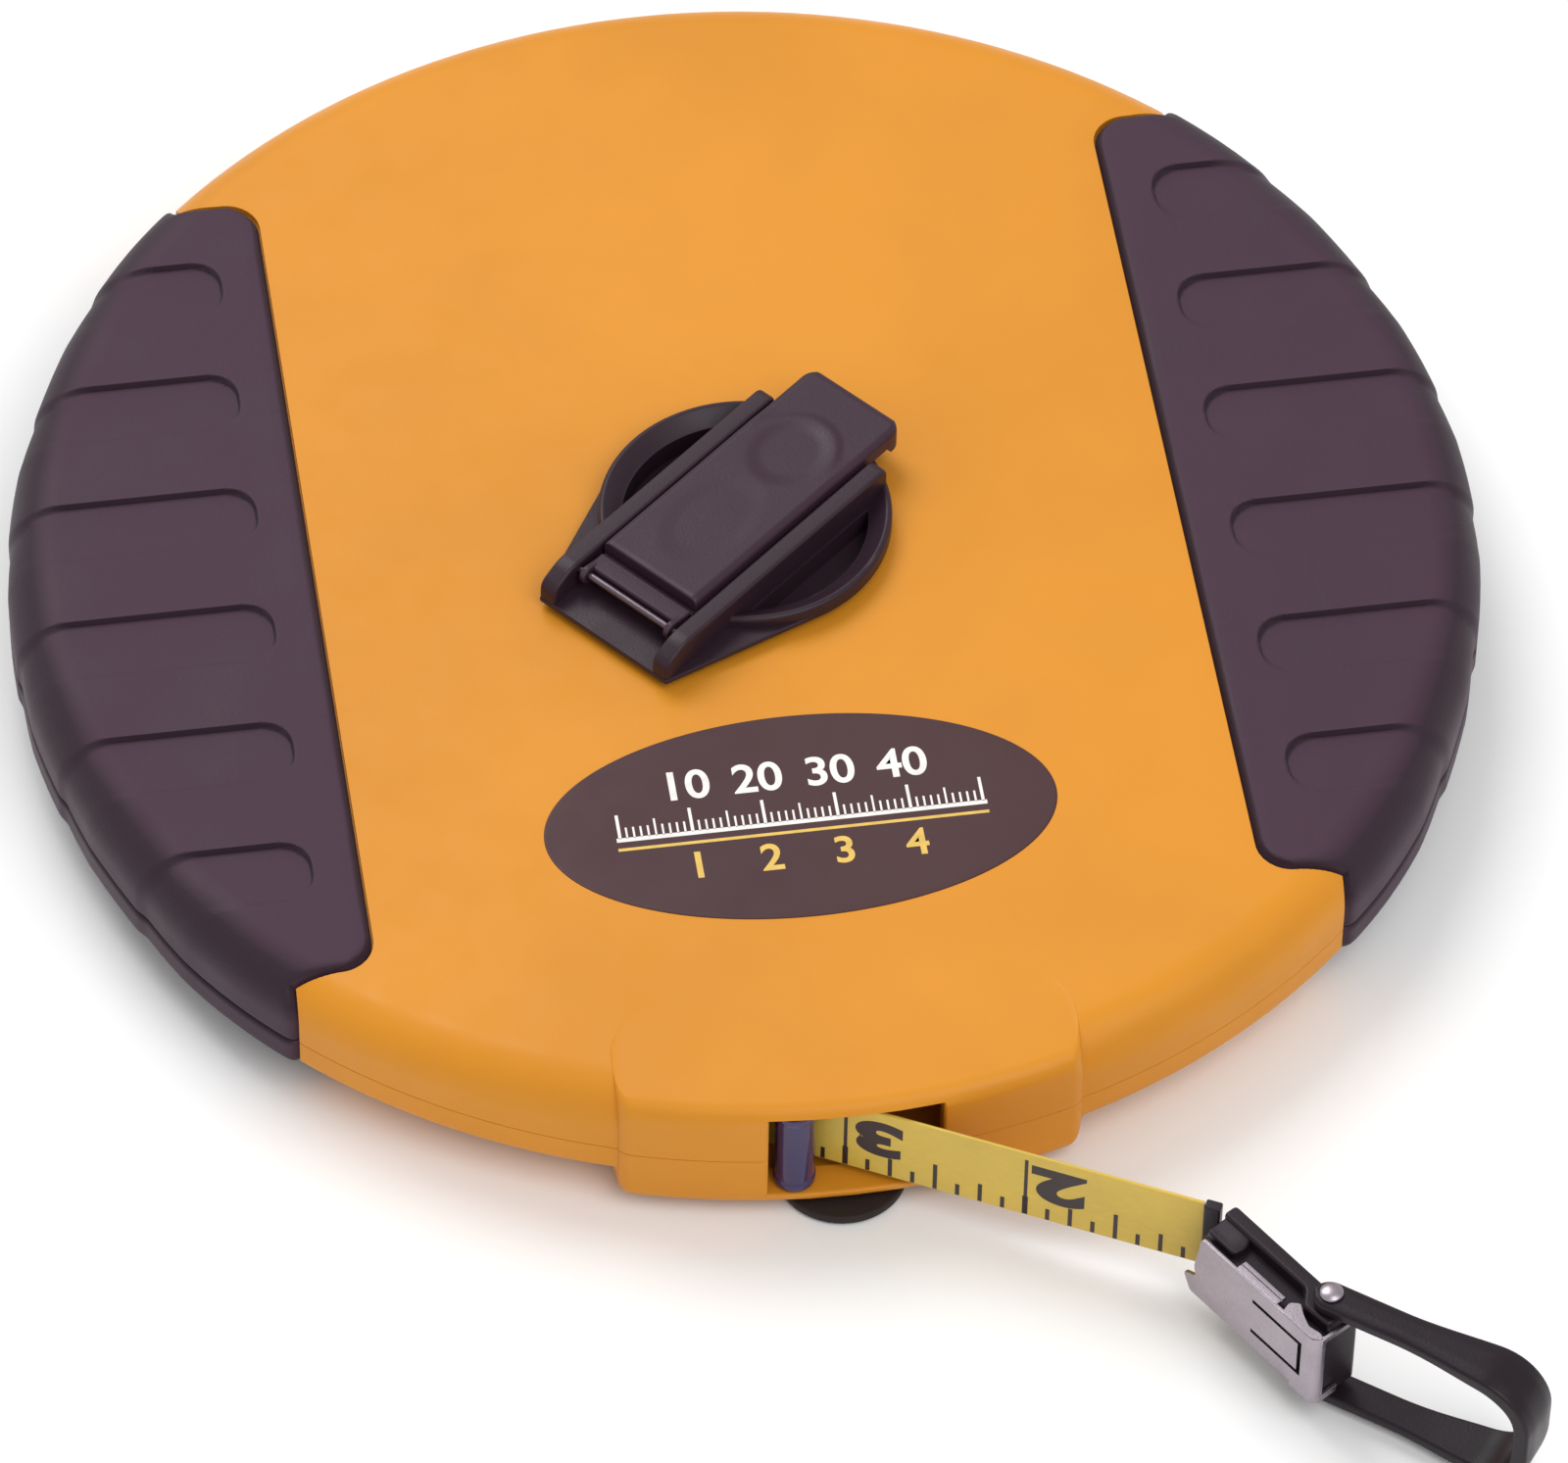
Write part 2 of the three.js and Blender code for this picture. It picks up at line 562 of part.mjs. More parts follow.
function hookPin() {
  const place = { facets: SMALL_FACETS };
  const headHeight = HOOK_PIN.high - LOOP.high - GAP;
  return cylinder(HOOK_PIN.radius, HOOK_PIN.low + 0.1, HOOK_PIN.high - 0.1, place)
    .add(cylinder(HOOK_PIN.head, HOOK_PIN.low, HOOK_PIN.low + headHeight, place))
    .add(cylinder(HOOK_PIN.head, HOOK_PIN.high - headHeight, HOOK_PIN.high, place));
}

// Outline of the loop seen from the side, as (x, z): two level arms joined by a round end.
function loopSide(inset) {
  const back = inset > 0 ? -FAR : -LOOP.width / 2;
  const low = LOOP.low + inset;
  const high = LOOP.high - inset;
  const end = LOOP.length - inset;
  const bend = LOOP.bend - inset;
  const shape = new THREE.Shape();
  shape.moveTo(back, low);
  shape.lineTo(end - bend, low);
  shape.absarc(end - bend, low + bend, bend, -Math.PI / 2, 0, false);
  shape.absarc(end - bend, high - bend, bend, 0, Math.PI / 2, false);
  shape.lineTo(back, high);
  return shape;
}

// Plan of the loop's strip: round about the pin, widening towards the closed end.
function loopPlan() {
  const half = LOOP.width / 2;
  const endHalf = LOOP.endWidth / 2;
  const shape = new THREE.Shape();
  shape.absarc(0, 0, half, Math.PI / 2, 1.5 * Math.PI, false);
  shape.lineTo(LOOP.length - 2 * LOOP.bend, -half);
  shape.lineTo(LOOP.length, -endHalf);
  shape.lineTo(LOOP.length, endHalf);
  shape.lineTo(LOOP.length - 2 * LOOP.bend, half);
  return shape;
}

function hookLoop() {
  const width = LOOP.endWidth;
  return upright(loopSide(0), -width, width, EDGE_STEPS)
    .subtract(upright(loopSide(LOOP.strip), -FAR, FAR, EDGE_STEPS))
    .intersect(raised(loopPlan(), 0, FAR, EDGE_STEPS))
    .subtract(cylinder(HOOK_PIN.radius + GAP, -1, FAR, { facets: SMALL_FACETS }));
}

function hookGroup() {
  const group = new THREE.Group();
  group.position.set(HOOK_PIN.x, HOOK_PIN.y, 0);
  const bar = new THREE.Group();
  bar.rotation.z = THREE.MathUtils.degToRad(HOOK_ANGLE);
  bar.add(mesh('hook_body', hookBody(), HOOK_BLACK));
  bar.add(mesh('hook_clip', hookClip(), STEEL));
  bar.add(mesh('hook_pin', hookPin(), STEEL));
  const loop = mesh('hook_loop', hookLoop(), HOOK_BLACK);
  loop.rotation.z = THREE.MathUtils.degToRad(LOOP_ANGLE);
  group.add(bar, loop);
  return group;
}

// ---------------------------------------------------------------------------------------------------
// Whole object
// ---------------------------------------------------------------------------------------------------

const group = new THREE.Group();
group.add(caseGroup(), reelGroup(), crankGroup(), tapeGroup(), hookGroup());

export default group;
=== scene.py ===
"""The looks of a closed-reel tape measure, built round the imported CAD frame.

Shapes are worked out in millimetres and turned into metres as each piece is placed. The frame is the CAD
model's: +Z is the reel's axis, -Y is the mouth, and z = 0 is the flat rear pad that the case lies on.
"""

import math

import bmesh
import bpy
from mathutils import Matrix, Vector


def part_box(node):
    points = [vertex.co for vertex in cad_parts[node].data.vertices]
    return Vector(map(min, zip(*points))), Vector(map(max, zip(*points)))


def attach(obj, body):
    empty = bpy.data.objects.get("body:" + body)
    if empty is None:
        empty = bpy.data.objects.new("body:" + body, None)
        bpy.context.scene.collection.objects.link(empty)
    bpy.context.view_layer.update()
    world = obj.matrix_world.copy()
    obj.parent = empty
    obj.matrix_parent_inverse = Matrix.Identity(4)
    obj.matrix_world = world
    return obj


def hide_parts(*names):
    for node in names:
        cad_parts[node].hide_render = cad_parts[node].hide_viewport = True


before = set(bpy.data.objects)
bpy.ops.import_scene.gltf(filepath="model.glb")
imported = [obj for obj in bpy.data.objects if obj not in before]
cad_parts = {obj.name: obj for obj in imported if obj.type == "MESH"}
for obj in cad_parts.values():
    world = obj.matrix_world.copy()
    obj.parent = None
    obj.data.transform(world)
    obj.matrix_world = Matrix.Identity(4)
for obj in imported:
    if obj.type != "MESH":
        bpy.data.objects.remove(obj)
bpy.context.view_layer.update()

MM = 0.001


def low(node):
    """Lowest corner of a CAD node, in millimetres."""
    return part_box(node)[0] / MM


def high(node):
    """Highest corner of a CAD node, in millimetres."""
    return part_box(node)[1] / MM


def span(node):
    """Lowest and highest z of a CAD node, in millimetres."""
    return low(node).z, high(node).z


def middle(node):
    """Where the middle of a CAD node is in plan, in millimetres."""
    centre = (low(node) + high(node)) / 2
    return centre.x, centre.y


# ---- Driving dimensions, in millimetres and degrees ----

CASE_RADIUS = 103.55
CASE_TOP = high("front_cover").z
CASE_LOW = 1.75
FLIP = CASE_TOP + CASE_LOW  # a height z on the front shell is at FLIP - z on the rear shell
SHOULDER = 6.6
WALL = 2
PARTING = 12.07  # the two shells all but touch here
FLAT_RADIUS = CASE_RADIUS - SHOULDER
RIM_START = 84  # the rings of points are plain circles up to here
SIDE_PULL = 1.35  # how much flatter than round the case's sides are, under the grips
REAR_EASE = 0.24  # how far the rear shoulder's middle is drawn in, as a share of its radius
HUB_OPENING = 18.9
PAD_RADIUS = 59
PILLAR_RADIUS = 4
PILLAR_TOP = 10.5

MOUTH_RADIUS = 104.4
MOUTH_HALF_WIDTH = 31.5
MOUTH_EDGE = 2.6
MOUTH_CORNER = 1.6
OPENING = {"left": -11.8, "right": 11.8, "low": 4.7, "high": 20.5}

GRIP_INNER_X = 61
GRIP_LOW_END = -71
GRIP_HIGH_END = 69.9
GRIP_SLANT = 0.5  # how far each end slants outwards on its way to the notch
GRIP_NOTCH_X = 72.2
GRIP_CORNER = 5
GRIP_SEAM = 0.6  # gap to the case at the pocket's floor; it widens a little towards the surface
GRIP_SEAM_FLARE = 0.1
GRIP_FOOT = 0.42  # how much wider a grip is at its foot than at the surface, so that the seam looks dark
GRIP_PARTING = 0.12  # how far each grip stops short of the parting
GRIP_PROUD = 0.7
GRIP_LIP = 0.9  # how far in from its edges a grip is rounded
GRIP_UNDER = -0.7
POCKET_DEPTH = -1
RECESS_INNER_X = 67
RECESS_FIRST_Y = 59.5
RECESS_SPACING = 21.6
RECESS_COUNT = 6
RECESS_WIDTH = 10.6
RECESS_CORNER = 4.5
RECESS_DEPTH = (0.85, 0.45)  # on the flat face, and on the rim
RECESS_WALL = (0.38, 2.6)  # width of its steep edge, on the flat face and on the rim

LABEL_CENTRE_Y = -53
LABEL_HALF_WIDTH = 35.3
LABEL_HALF_HEIGHT = 17.8
LABEL_TOP = high("front_label").z
SCALE_HALF = 25
SCALE_STEP = 10  # between two numbers

CRANK_ANGLE = 40.7
DISC_RADIUS = 20.5
DISC_LOW = 23.35
RAIL_INNER = 8.9
RAIL_OUTER = 11.75
RAIL_TOP = 29
LEVER_TOP = high("crank_arm").z
LEVER_LOW = 27.3
LEVER_HALF = 8.4
LEVER_BACK = -20
LEVER_TIP = 24
LEVER_CORNER = 2.2
HINGE_U = -24.4
HINGE_Z = 27.4
HINGE_BORE = 0.7
KNOB_U = 10.8
KNOB_RADIUS = 5.2
DIMPLE_U = 9.4
CRANK_END = -30

REEL_CORE = 22.3
FLANGE_RADIUS = 90.3
COIL_RADIUS = 89.2
COIL_RIBS = 46

TAPE_ANGLE = -27.4
TAPE_LINE_RADIUS = 89.7
TAPE_LOW, TAPE_HIGH = span("tape_lead")
TAPE_START = -8
TAPE_END = 95.6
TAPE_THICKNESS = 0.5
INK = 0.02
INCH = 25.4
NUMERAL_STRETCH = 1.6
TWO_INCH_LINE = 70.9  # along the tape, from the point where it leaves the coil

HOOK_PIN = Vector((57, -143, 0))
HOOK_ANGLE = -58
HOOK_BORE = 1.4
LOOP_ANGLE = -37
LOOP_LOW, LOOP_HIGH = span("hook_loop")
LOOP_LENGTH = 31.3
LOOP_STRIP = 2.0
LOOP_BEND = 8

SCREW_ANGLES = (0, 56, 124, -152, -52)
SCREW_CIRCLE = 94.5
HEAD_HOLE = 2.9


def frame_at(x, y, angle):
    """The matrix of a local frame that stands at (x, y), turned about +Z."""
    return Matrix.Translation((x, y, 0)) @ Matrix.Rotation(math.radians(angle), 4, "Z")


HOME = Matrix.Identity(4)
CRANK_FRAME = frame_at(0, 0, CRANK_ANGLE)
TAPE_AWAY = math.radians(TAPE_ANGLE - 90)
TAPE_FRAME = frame_at(
    TAPE_LINE_RADIUS * math.cos(TAPE_AWAY),
    TAPE_LINE_RADIUS * math.sin(TAPE_AWAY),
    TAPE_ANGLE,
)
HOOK_FRAME = frame_at(HOOK_PIN.x, HOOK_PIN.y, HOOK_ANGLE)
LOOP_FRAME = frame_at(HOOK_PIN.x, HOOK_PIN.y, LOOP_ANGLE)


# ---- Small maths ----


def clamp(value, least=0.0, most=1.0):
    return max(least, min(most, value))


def smooth(start, end, value):
    """0 at start and before it, 1 at end and past it, with a smooth change between."""
    t = clamp((value - start) / (end - start))
    return t * t * (3 - 2 * t)


def round_over(distance, radius):
    """Height of a quarter-round edge, from 0 at its foot to 1 past its radius."""
    t = 1 - clamp(distance / radius)
    return math.sqrt(1 - t * t)


def steps(start, end, count):
    """count + 1 evenly spaced values from start to end."""
    return [start + (end - start) * i / count for i in range(count + 1)]


def distinct(values, least=0.03):
    """The values in order, without those closer than least to the one before."""
    kept = []
    for value in sorted(values):
        if not kept or value - kept[-1] >= least:
            kept.append(value)
    return kept


def rectangle(x, y):
    """Corners of a rectangle, from its two ends along x and along y."""
    return [(x[0], y[0]), (x[1], y[0]), (x[1], y[1]), (x[0], y[1])]


def arc(centre, radius, start, end, count):
    """Points on an arc, in degrees."""
    angles = [math.radians(a) for a in steps(start, end, count)]
    return [(centre[0] + radius * math.cos(a), centre[1] + radius * math.sin(a)) for a in angles]


def rounded(points, radius, count=4, closed=True):
    """An outline with every corner rounded; an open one keeps its two ends."""
    out = []
    size = len(points)
    for i, point in enumerate(points):
        if not closed and i in (0, size - 1):
            out.append(tuple(point))
            continue
        here = Vector(point)
        back = Vector(points[i - 1]) - here
        ahead = Vector(points[(i + 1) % size]) - here
        cut = min(radius, back.length * 0.48, ahead.length * 0.48)
        first = here + back.normalized() * cut
        last = here + ahead.normalized() * cut
        for t in steps(0, 1, count):
            p = first * (1 - t) ** 2 + here * 2 * t * (1 - t) + last * t ** 2
            out.append(tuple(p))
    return out


# ---- Mesh building ----


def add_object(name, data):
    """Puts a mesh, curve, light or camera into the scene."""
    obj = bpy.data.objects.new(name, data)
    bpy.context.scene.collection.objects.link(obj)
    return obj


def new_object(name, verts, faces):
    mesh = bpy.data.meshes.new(name)
    mesh.from_pydata([tuple(v) for v in verts], [], faces)
    obj = add_object(name, mesh)
    weld(obj)
    return obj


def weld(obj, distance=1e-4):
    """Merges vertices that coincide and turns all faces outwards."""
    bm = bmesh.new()
    bm.from_mesh(obj.data)
    bmesh.ops.remove_doubles(bm, verts=bm.verts, dist=distance)
    bmesh.ops.dissolve_degenerate(bm, edges=bm.edges, dist=distance)
    bmesh.ops.recalc_face_normals(bm, faces=bm.faces)
    bm.to_mesh(obj.data)
    bm.free()


def grid_faces(rows, columns, wrap_rows, wrap_columns, base=0):
    faces = []
    for i in range(rows if wrap_rows else rows - 1):
        for j in range(columns if wrap_columns else columns - 1):
            i2 = (i + 1) % rows
            j2 = (j + 1) % columns
            corners = ((i, j), (i, j2), (i2, j2), (i2, j))
            faces.append([base + a * columns + b for a, b in corners])
    return faces


def tube(name, rows, wrap_rows=False, caps=True):
    """Closed loops of points joined one to the next, with flat ends if it has caps."""
    columns = len(rows[0])
    faces = grid_faces(len(rows), columns, wrap_rows, True)
    if caps:
        faces.append(list(range(columns)))
        faces.append([(len(rows) - 1) * columns + j for j in range(columns)])
    return new_object(name, [p for row in rows for p in row], faces)


def skin(name, outer, inner):
    """A closed skin: two grids of the same size, joined round their borders."""
    rows = len(outer)
    columns = len(outer[0])
    count = rows * columns
    verts = [p for grid in (outer, inner) for row in grid for p in row]
    faces = grid_faces(rows, columns, False, False)
    faces += grid_faces(rows, columns, False, False, base=count)
    border = [(0, j) for j in range(columns)]
    border += [(i, columns - 1) for i in range(1, rows)]
    border += [(rows - 1, j) for j in range(columns - 2, -1, -1)]
    border += [(i, 0) for i in range(rows - 2, 0, -1)]
    for k, (i, j) in enumerate(border):
        i2, j2 = border[(k + 1) % len(border)]
        a = i * columns + j
        b = i2 * columns + j2
        faces.append([a, b, count + b, count + a])
    return new_object(name, verts, faces)


def lathe(name, outline, facets=64, place=(0, 0), ring=False):
    """Turns an outline of (radius, height) about an upright axis; a ring's outline closes on itself."""
    angles = [2 * math.pi * k / facets for k in range(facets)]
    rows = []
    for r, z in outline:
        rows.append([(place[0] + r * math.cos(a), place[1] + r * math.sin(a), z) for a in angles])
    return tube(name, rows, wrap_rows=ring, caps=False)


def pin(name, radius, bottom, top, facets=32, place=(0, 0), edge=0.0):
    """An upright cylinder, with its rims rounded if it has an edge."""
    outline = rectangle((0, radius), (bottom, top))
    if edge:
        outline = rounded(outline, edge, 3, False)
    return lathe(name, outline, facets, place)


def flat_ring(name, inner, outer, bottom, top, edge, facets, count=3):
    outline = rectangle((inner, outer), (bottom, top))
    return lathe(name, rounded(outline, edge, count), facets, ring=True)


def lay_at_hinge(obj):
    """Turns an upright piece on its side, so that its axis is the crank's hinge line."""
    turn = Matrix.Translation((HINGE_U, 0, HINGE_Z)) @ Matrix.Rotation(math.radians(90), 4, "X")
    obj.data.transform(turn)
    return obj


def bevel(obj, width):
    """Rounds the sharp edges."""
    bm = bmesh.new()
    bm.from_mesh(obj.data)
    least = math.radians(30)
    sharp = [e for e in bm.edges if len(e.link_faces) == 2 and e.calc_face_angle(0) > least]
    bmesh.ops.bevel(
        bm,
        geom=sharp,
        offset=width,
        offset_type="OFFSET",
        segments=3,
        profile=0.5,
        affect="EDGES",
        clamp_overlap=True,
    )
    bmesh.ops.recalc_face_normals(bm, faces=bm.faces)
    bm.to_mesh(obj.data)
    bm.free()


def prism(name, outline, start, end, edge=0.0, axis="z"):
    """An outline of (x, y) raised along z, or of (x, z) given its width along y."""
    rows = []
    for level in (start, end):
        if axis == "z":
            rows.append([(a, b, level) for a, b in outline])
        else:
            rows.append([(a, level, b) for a, b in outline])
    obj = tube(name, rows)
    if edge:
        bevel(obj, edge)
    return obj


def block(name, x, y, z, edge=0.0):
    return prism(name, rectangle(x, y), z[0], z[1], edge)


def evaluated_mesh(obj):
    """The object's mesh with its modifiers applied, or a curve's as a mesh."""
    graph = bpy.context.evaluated_depsgraph_get()
    return bpy.data.meshes.new_from_object(obj.evaluated_get(graph))


def combine(obj, tools, operation):
    """Joins tools to obj, or cuts them out of it, and uses them up."""
    for tool in tools:
        modifier = obj.modifiers.new("combine", "BOOLEAN")
        modifier.operation = operation
        modifier.solver = "MANIFOLD"
        modifier.object = tool
        mesh = evaluated_mesh(obj)
        obj.modifiers.clear()
        obj.data = mesh
        bpy.data.objects.remove(tool)
    return obj


def join(obj, *tools):
    return combine(obj, tools, "UNION")


def cut(obj, *tools):
    return combine(obj, tools, "DIFFERENCE")


def place_piece(obj, body, slot, look, *nodes, at=HOME, sharp=35):
    """Moves a finished piece from its local frame into the row's, and ties it to its CAD body."""
    obj.data.transform(Matrix.Scale(MM, 4) @ at)
    for polygon in obj.data.polygons:
        polygon.use_smooth = True
    obj.data.set_sharp_from_angle(angle=math.radians(sharp))
    weight = obj.modifiers.new("weighted", "WEIGHTED_NORMAL")
    weight.keep_sharp = True
    obj.data.materials.clear()
    obj.data.materials.append(look)
    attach(obj, body)
    if nodes:
        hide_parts(*nodes)


# ---- Materials ----


def linear(*rgb):
    """An sRGB colour of 0 to 255 as linear light."""
    out = []
    for value in rgb:
        c = value / 255
        out.append(c / 12.92 if c <= 0.04045 else ((c + 0.055) / 1.055) ** 2.4)
    return (*out, 1.0)


class Look:
    """One procedural material under construction."""

    def __init__(self, name):
        self.material = bpy.data.materials.new(name)
        self.material.use_nodes = True
        self.nodes = self.material.node_tree.nodes
        self.links = self.material.node_tree.links
        self.shader = self.nodes["Principled BSDF"]
        self.place = self.nodes.new("ShaderNodeTexCoord").outputs["Object"]

    def noise(self, scale, detail=3.0, stretch=None):
        """A noise pattern; scale is in features for each metre."""
        node = self.nodes.new("ShaderNodeTexNoise")
        node.inputs["Scale"].default_value = scale
        node.inputs["Detail"].default_value = detail
        if stretch:
            mapping = self.nodes.new("ShaderNodeMapping")
            mapping.inputs["Scale"].default_value = stretch
            self.links.new(self.place, mapping.inputs["Vector"])
            self.links.new(mapping.outputs["Vector"], node.inputs["Vector"])
        else:
            self.links.new(self.place, node.inputs["Vector"])
        return node.outputs["Fac"]

    def ramp(self, source, start, end, first, last):
        """Turns a pattern into a number between first and last."""
        node = self.nodes.new("ShaderNodeMapRange")
        node.inputs["From Min"].default_value = start
        node.inputs["From Max"].default_value = end
        node.inputs["To Min"].default_value = first
        node.inputs["To Max"].default_value = last
        self.links.new(source, node.inputs["Value"])
        return node.outputs["Result"]

    def mix(self, factor, first, second):
        """Mixes two colours, or a colour source and a colour, by a pattern."""
        node = self.nodes.new("ShaderNodeMix")
        node.data_type = "RGBA"
        self.links.new(factor, node.inputs["Factor"])
        for value, socket in ((first, node.inputs[6]), (second, node.inputs[7])):
            if isinstance(value, tuple):
                socket.default_value = value
            else:
                self.links.new(value, socket)
        return node.outputs[2]

    def patchy(self, pattern, start, end, colour, first, last):
        """A colour that a pattern varies between two tints."""
        return self.mix(self.ramp(pattern, start, end, 0, 1), tint(colour, first), tint(colour, last))

    def feed(self, name, source):
        """Gives one of the shader's inputs a pattern."""
        self.links.new(source, self.shader.inputs[name])

    def bump(self, source, distance):
        node = self.nodes.new("ShaderNodeBump")
        node.inputs["Distance"].default_value = distance
        node.inputs["Strength"].default_value = 1
        self.links.new(source, node.inputs["Height"])
        self.feed("Normal", node.outputs["Normal"])

    def surface(self, output):
        """What Blender knows about the surface's own shape."""
        return self.nodes.new("ShaderNodeNewGeometry").outputs[output]

    def worn_edges(self, colour, worn):
        """Lightens the convex edges a little, as handling does."""
        return self.mix(self.ramp(self.surface("Pointiness"), 0.53, 0.6, 0, 0.35), colour, worn)

    def flatness(self):
        """1 where the surface lies level, 0 where it stands upright."""
        split = self.nodes.new("ShaderNodeSeparateXYZ")
        self.links.new(self.surface("Normal"), split.inputs["Vector"])
        size = self.nodes.new("ShaderNodeMath")
        size.operation = "ABSOLUTE"
        self.links.new(split.outputs["Z"], size.inputs[0])
        return size.outputs["Value"]

    def set(self, **values):
        for name, value in values.items():
            self.shader.inputs[name.replace("_", " ")].default_value = value


SPECULAR = 0.25


def tint(colour, factor):
    return (*[clamp(c * factor) for c in colour[:3]], 1.0)


def moulded_plastic(name, colour, roughness, grain=0.000012, spread=0.06, worn=None, coat=0.0):
    """Moulded plastic: slight cloudiness, a fine grain and uneven gloss."""
    look = Look(name)
    base = look.patchy(look.noise(22, 4), 0.35, 0.65, colour, 0.95, 1.05)
    if worn:
        base = look.worn_edges(base, worn)
    look.feed("Base Color", base)
    haze = look.noise(160, 5)
    look.feed("Roughness", look.ramp(haze, 0.3, 0.7, roughness - spread, roughness + spread))
    look.bump(look.noise(2600, 2), grain)
    look.set(Specular_IOR_Level=SPECULAR, Coat_Weight=coat, Coat_Roughness=0.05)
    return look.material


def soft_grip(name, colour):
    """Soft rubber: a pebble grain, random dusty patches, lighter worn edges, painted shade in the creases
    and on the shoulder, and painted light on the upright sides.
    """
    look = Look(name)
    dust = look.noise(70, 6)
    base = look.patchy(dust, 0.35, 0.7, colour, 0.94, 1.1)
    base = look.worn_edges(base, tint(colour, 1.5))
    # Painted shade: concave creases, such as the foot of each finger recess's wall, are darkened in place
    # of the shade that falls in them.
    crease = look.surface("Pointiness")
    base = look.mix(look.ramp(crease, 0.44, 0.49, 0.7, 0), base, tint(colour, 0.35))
    flatness = look.flatness()
    # Painted shade: faces that turn away from level, over the shoulder, are darkened for the light that
    # they miss from above and behind.
    base = look.mix(look.ramp(flatness, 0.86, 0.995, 0.75, 0), base, tint(colour, 0.4))
    # Painted light: upright faces are lightened for the light that the floor throws back on them.
    base = look.mix(look.ramp(flatness, 0.05, 0.45, 0.7, 0), base, tint(colour, 1.1))
    look.feed("Base Color", base)
    look.feed("Roughness", look.ramp(dust, 0.3, 0.7, 0.52, 0.66))
    look.bump(look.noise(1500, 3), 0.00004)
    look.set(Specular_IOR_Level=SPECULAR, Sheen_Weight=0.04, Sheen_Roughness=0.5)
    return look.material


def brushed_metal(name, colour, roughness, stretch=(1, 1, 14)):
    """Plated steel: fine lines one way and faint stains."""
    look = Look(name)
    lines = look.noise(900, 3, stretch=stretch)
    look.feed("Base Color", look.patchy(look.noise(120, 5), 0.4, 0.7, colour, 1.05, 0.85))
    look.feed("Roughness", look.ramp(lines, 0.3, 0.7, roughness - 0.07, roughness + 0.1))
    look.bump(lines, 0.000006)
    look.set(Metallic=1.0)
    return look.material


def coated_tape(name, colour):
    """Coated fibreglass tape: glass threads along it under a clear, slightly uneven coat."""
    look = Look(name)
    threads = look.noise(1400, 2, stretch=(0.04, 1, 1))
    cloud = look.noise(60, 4)
    base = look.patchy(cloud, 0.35, 0.65, colour, 0.93, 1.05)
    base = look.mix(look.ramp(threads, 0.45, 0.75, 0, 0.22), base, tint(colour, 1.25))
    look.feed("Base Color", base)
    look.feed("Roughness", look.ramp(cloud, 0.3, 0.7, 0.3, 0.42))
    look.bump(threads, 0.000015)
    look.set(Specular_IOR_Level=SPECULAR, Coat_Weight=0.15, Coat_Roughness=0.25)
    return look.material


def printed(name, colour):
    """Ink: a thin, slightly patchy layer."""
    look = Look(name)
    patch = look.noise(500, 4)
    look.feed("Base Color", look.patchy(patch, 0.35, 0.7, colour, 0.9, 1.1))
    look.feed("Roughness", look.ramp(patch, 0.3, 0.7, 0.4, 0.5))
    return look.material


def worn_plastic(name, colour, roughness, worn):
    """The hard black plastic of the crank and the hook, coarser and lighter at its edges."""
    return moulded_plastic(name, linear(*colour), roughness, 0.00002, worn=linear(*worn))


ORANGE = moulded_plastic("orange_plastic", linear(216, 141, 36), 0.42)
GRIP = soft_grip("grip_rubber", linear(65, 43, 58))
CRANK_BLACK = worn_plastic("crank_plastic", (58, 38, 51), 0.38, (92, 74, 86))
# A darker copy of the crank's plastic for its base: painted shade, in place of the shade that the lever
# casts on the base.
SHADED_BASE_BLACK = worn_plastic("crank_base_plastic", (49, 33, 43), 0.38, (84, 68, 78))
HOOK_BLACK = worn_plastic("hook_plastic", (34, 25, 32), 0.36, (80, 70, 78))
RUBBER = moulded_plastic("bumper_rubber", linear(44, 36, 34), 0.6, grain=0.00003)
LABEL_FILM = moulded_plastic("label_film", linear(70, 43, 46), 0.42, grain=0.000004)
LABEL_WHITE = printed("label_white_ink", linear(240, 236, 232))
LABEL_YELLOW = printed("label_yellow_ink", linear(226, 186, 84))
TAPE_COAT = coated_tape("tape_coat", linear(212, 180, 78))
TAPE_INK = printed("tape_ink", linear(44, 28, 30))
ROLLER_FILM = moulded_plastic("roller_plastic", linear(52, 40, 86), 0.2, 0.000004, 0.04, coat=0.5)
STEEL = brushed_metal("plated_steel", linear(190, 186, 190), 0.25)
CLIP_STEEL = brushed_metal("clip_steel", linear(168, 158, 166), 0.3, stretch=(14, 1, 1))
DARK_STEEL = brushed_metal("dark_steel", linear(112, 100, 108), 0.4)
BRASS = brushed_metal("turned_brass", linear(196, 164, 96), 0.3)
INNER = moulded_plastic("reel_plastic", linear(60, 60, 62), 0.5)


# ---- Camera, light and floor ----

CAMERA_ELEVATION = 49.73
CAMERA_AZIMUTH = -9.25
CAMERA_ROLL = 1.04
CAMERA_DISTANCE = 1500
CAMERA_LENS = 244.3
CAMERA_SLIDE = (5.72, -14.18)  # sideways and upwards, so that the object sits where it does in the view
LIGHT_SIZE = 1.3  # in metres, as is the floor's size
FLOOR_SIZE = 6.0


def make_camera():
    e = math.radians(CAMERA_ELEVATION)
    a = math.radians(CAMERA_AZIMUTH)
    roll = math.radians(CAMERA_ROLL)
    back = Vector((math.sin(a) * math.cos(e), -math.cos(a) * math.cos(e), math.sin(e)))
    level = Vector((math.cos(a), math.sin(a), 0))
    upward = back.cross(level)
    right = level * math.cos(roll) + upward * math.sin(roll)
    up = upward * math.cos(roll) - level * math.sin(roll)
    spot = back * CAMERA_DISTANCE + right * CAMERA_SLIDE[0] + up * CAMERA_SLIDE[1]
    data = bpy.data.cameras.new("camera")
    data.lens = CAMERA_LENS
    data.sensor_width = 36
    data.clip_start = 0.05
    data.clip_end = 50
    camera = add_object("camera", data)
    turn = Matrix((right, up, back)).transposed().to_4x4()
    camera.matrix_world = Matrix.Translation(spot * MM) @ turn
    bpy.context.scene.camera = camera


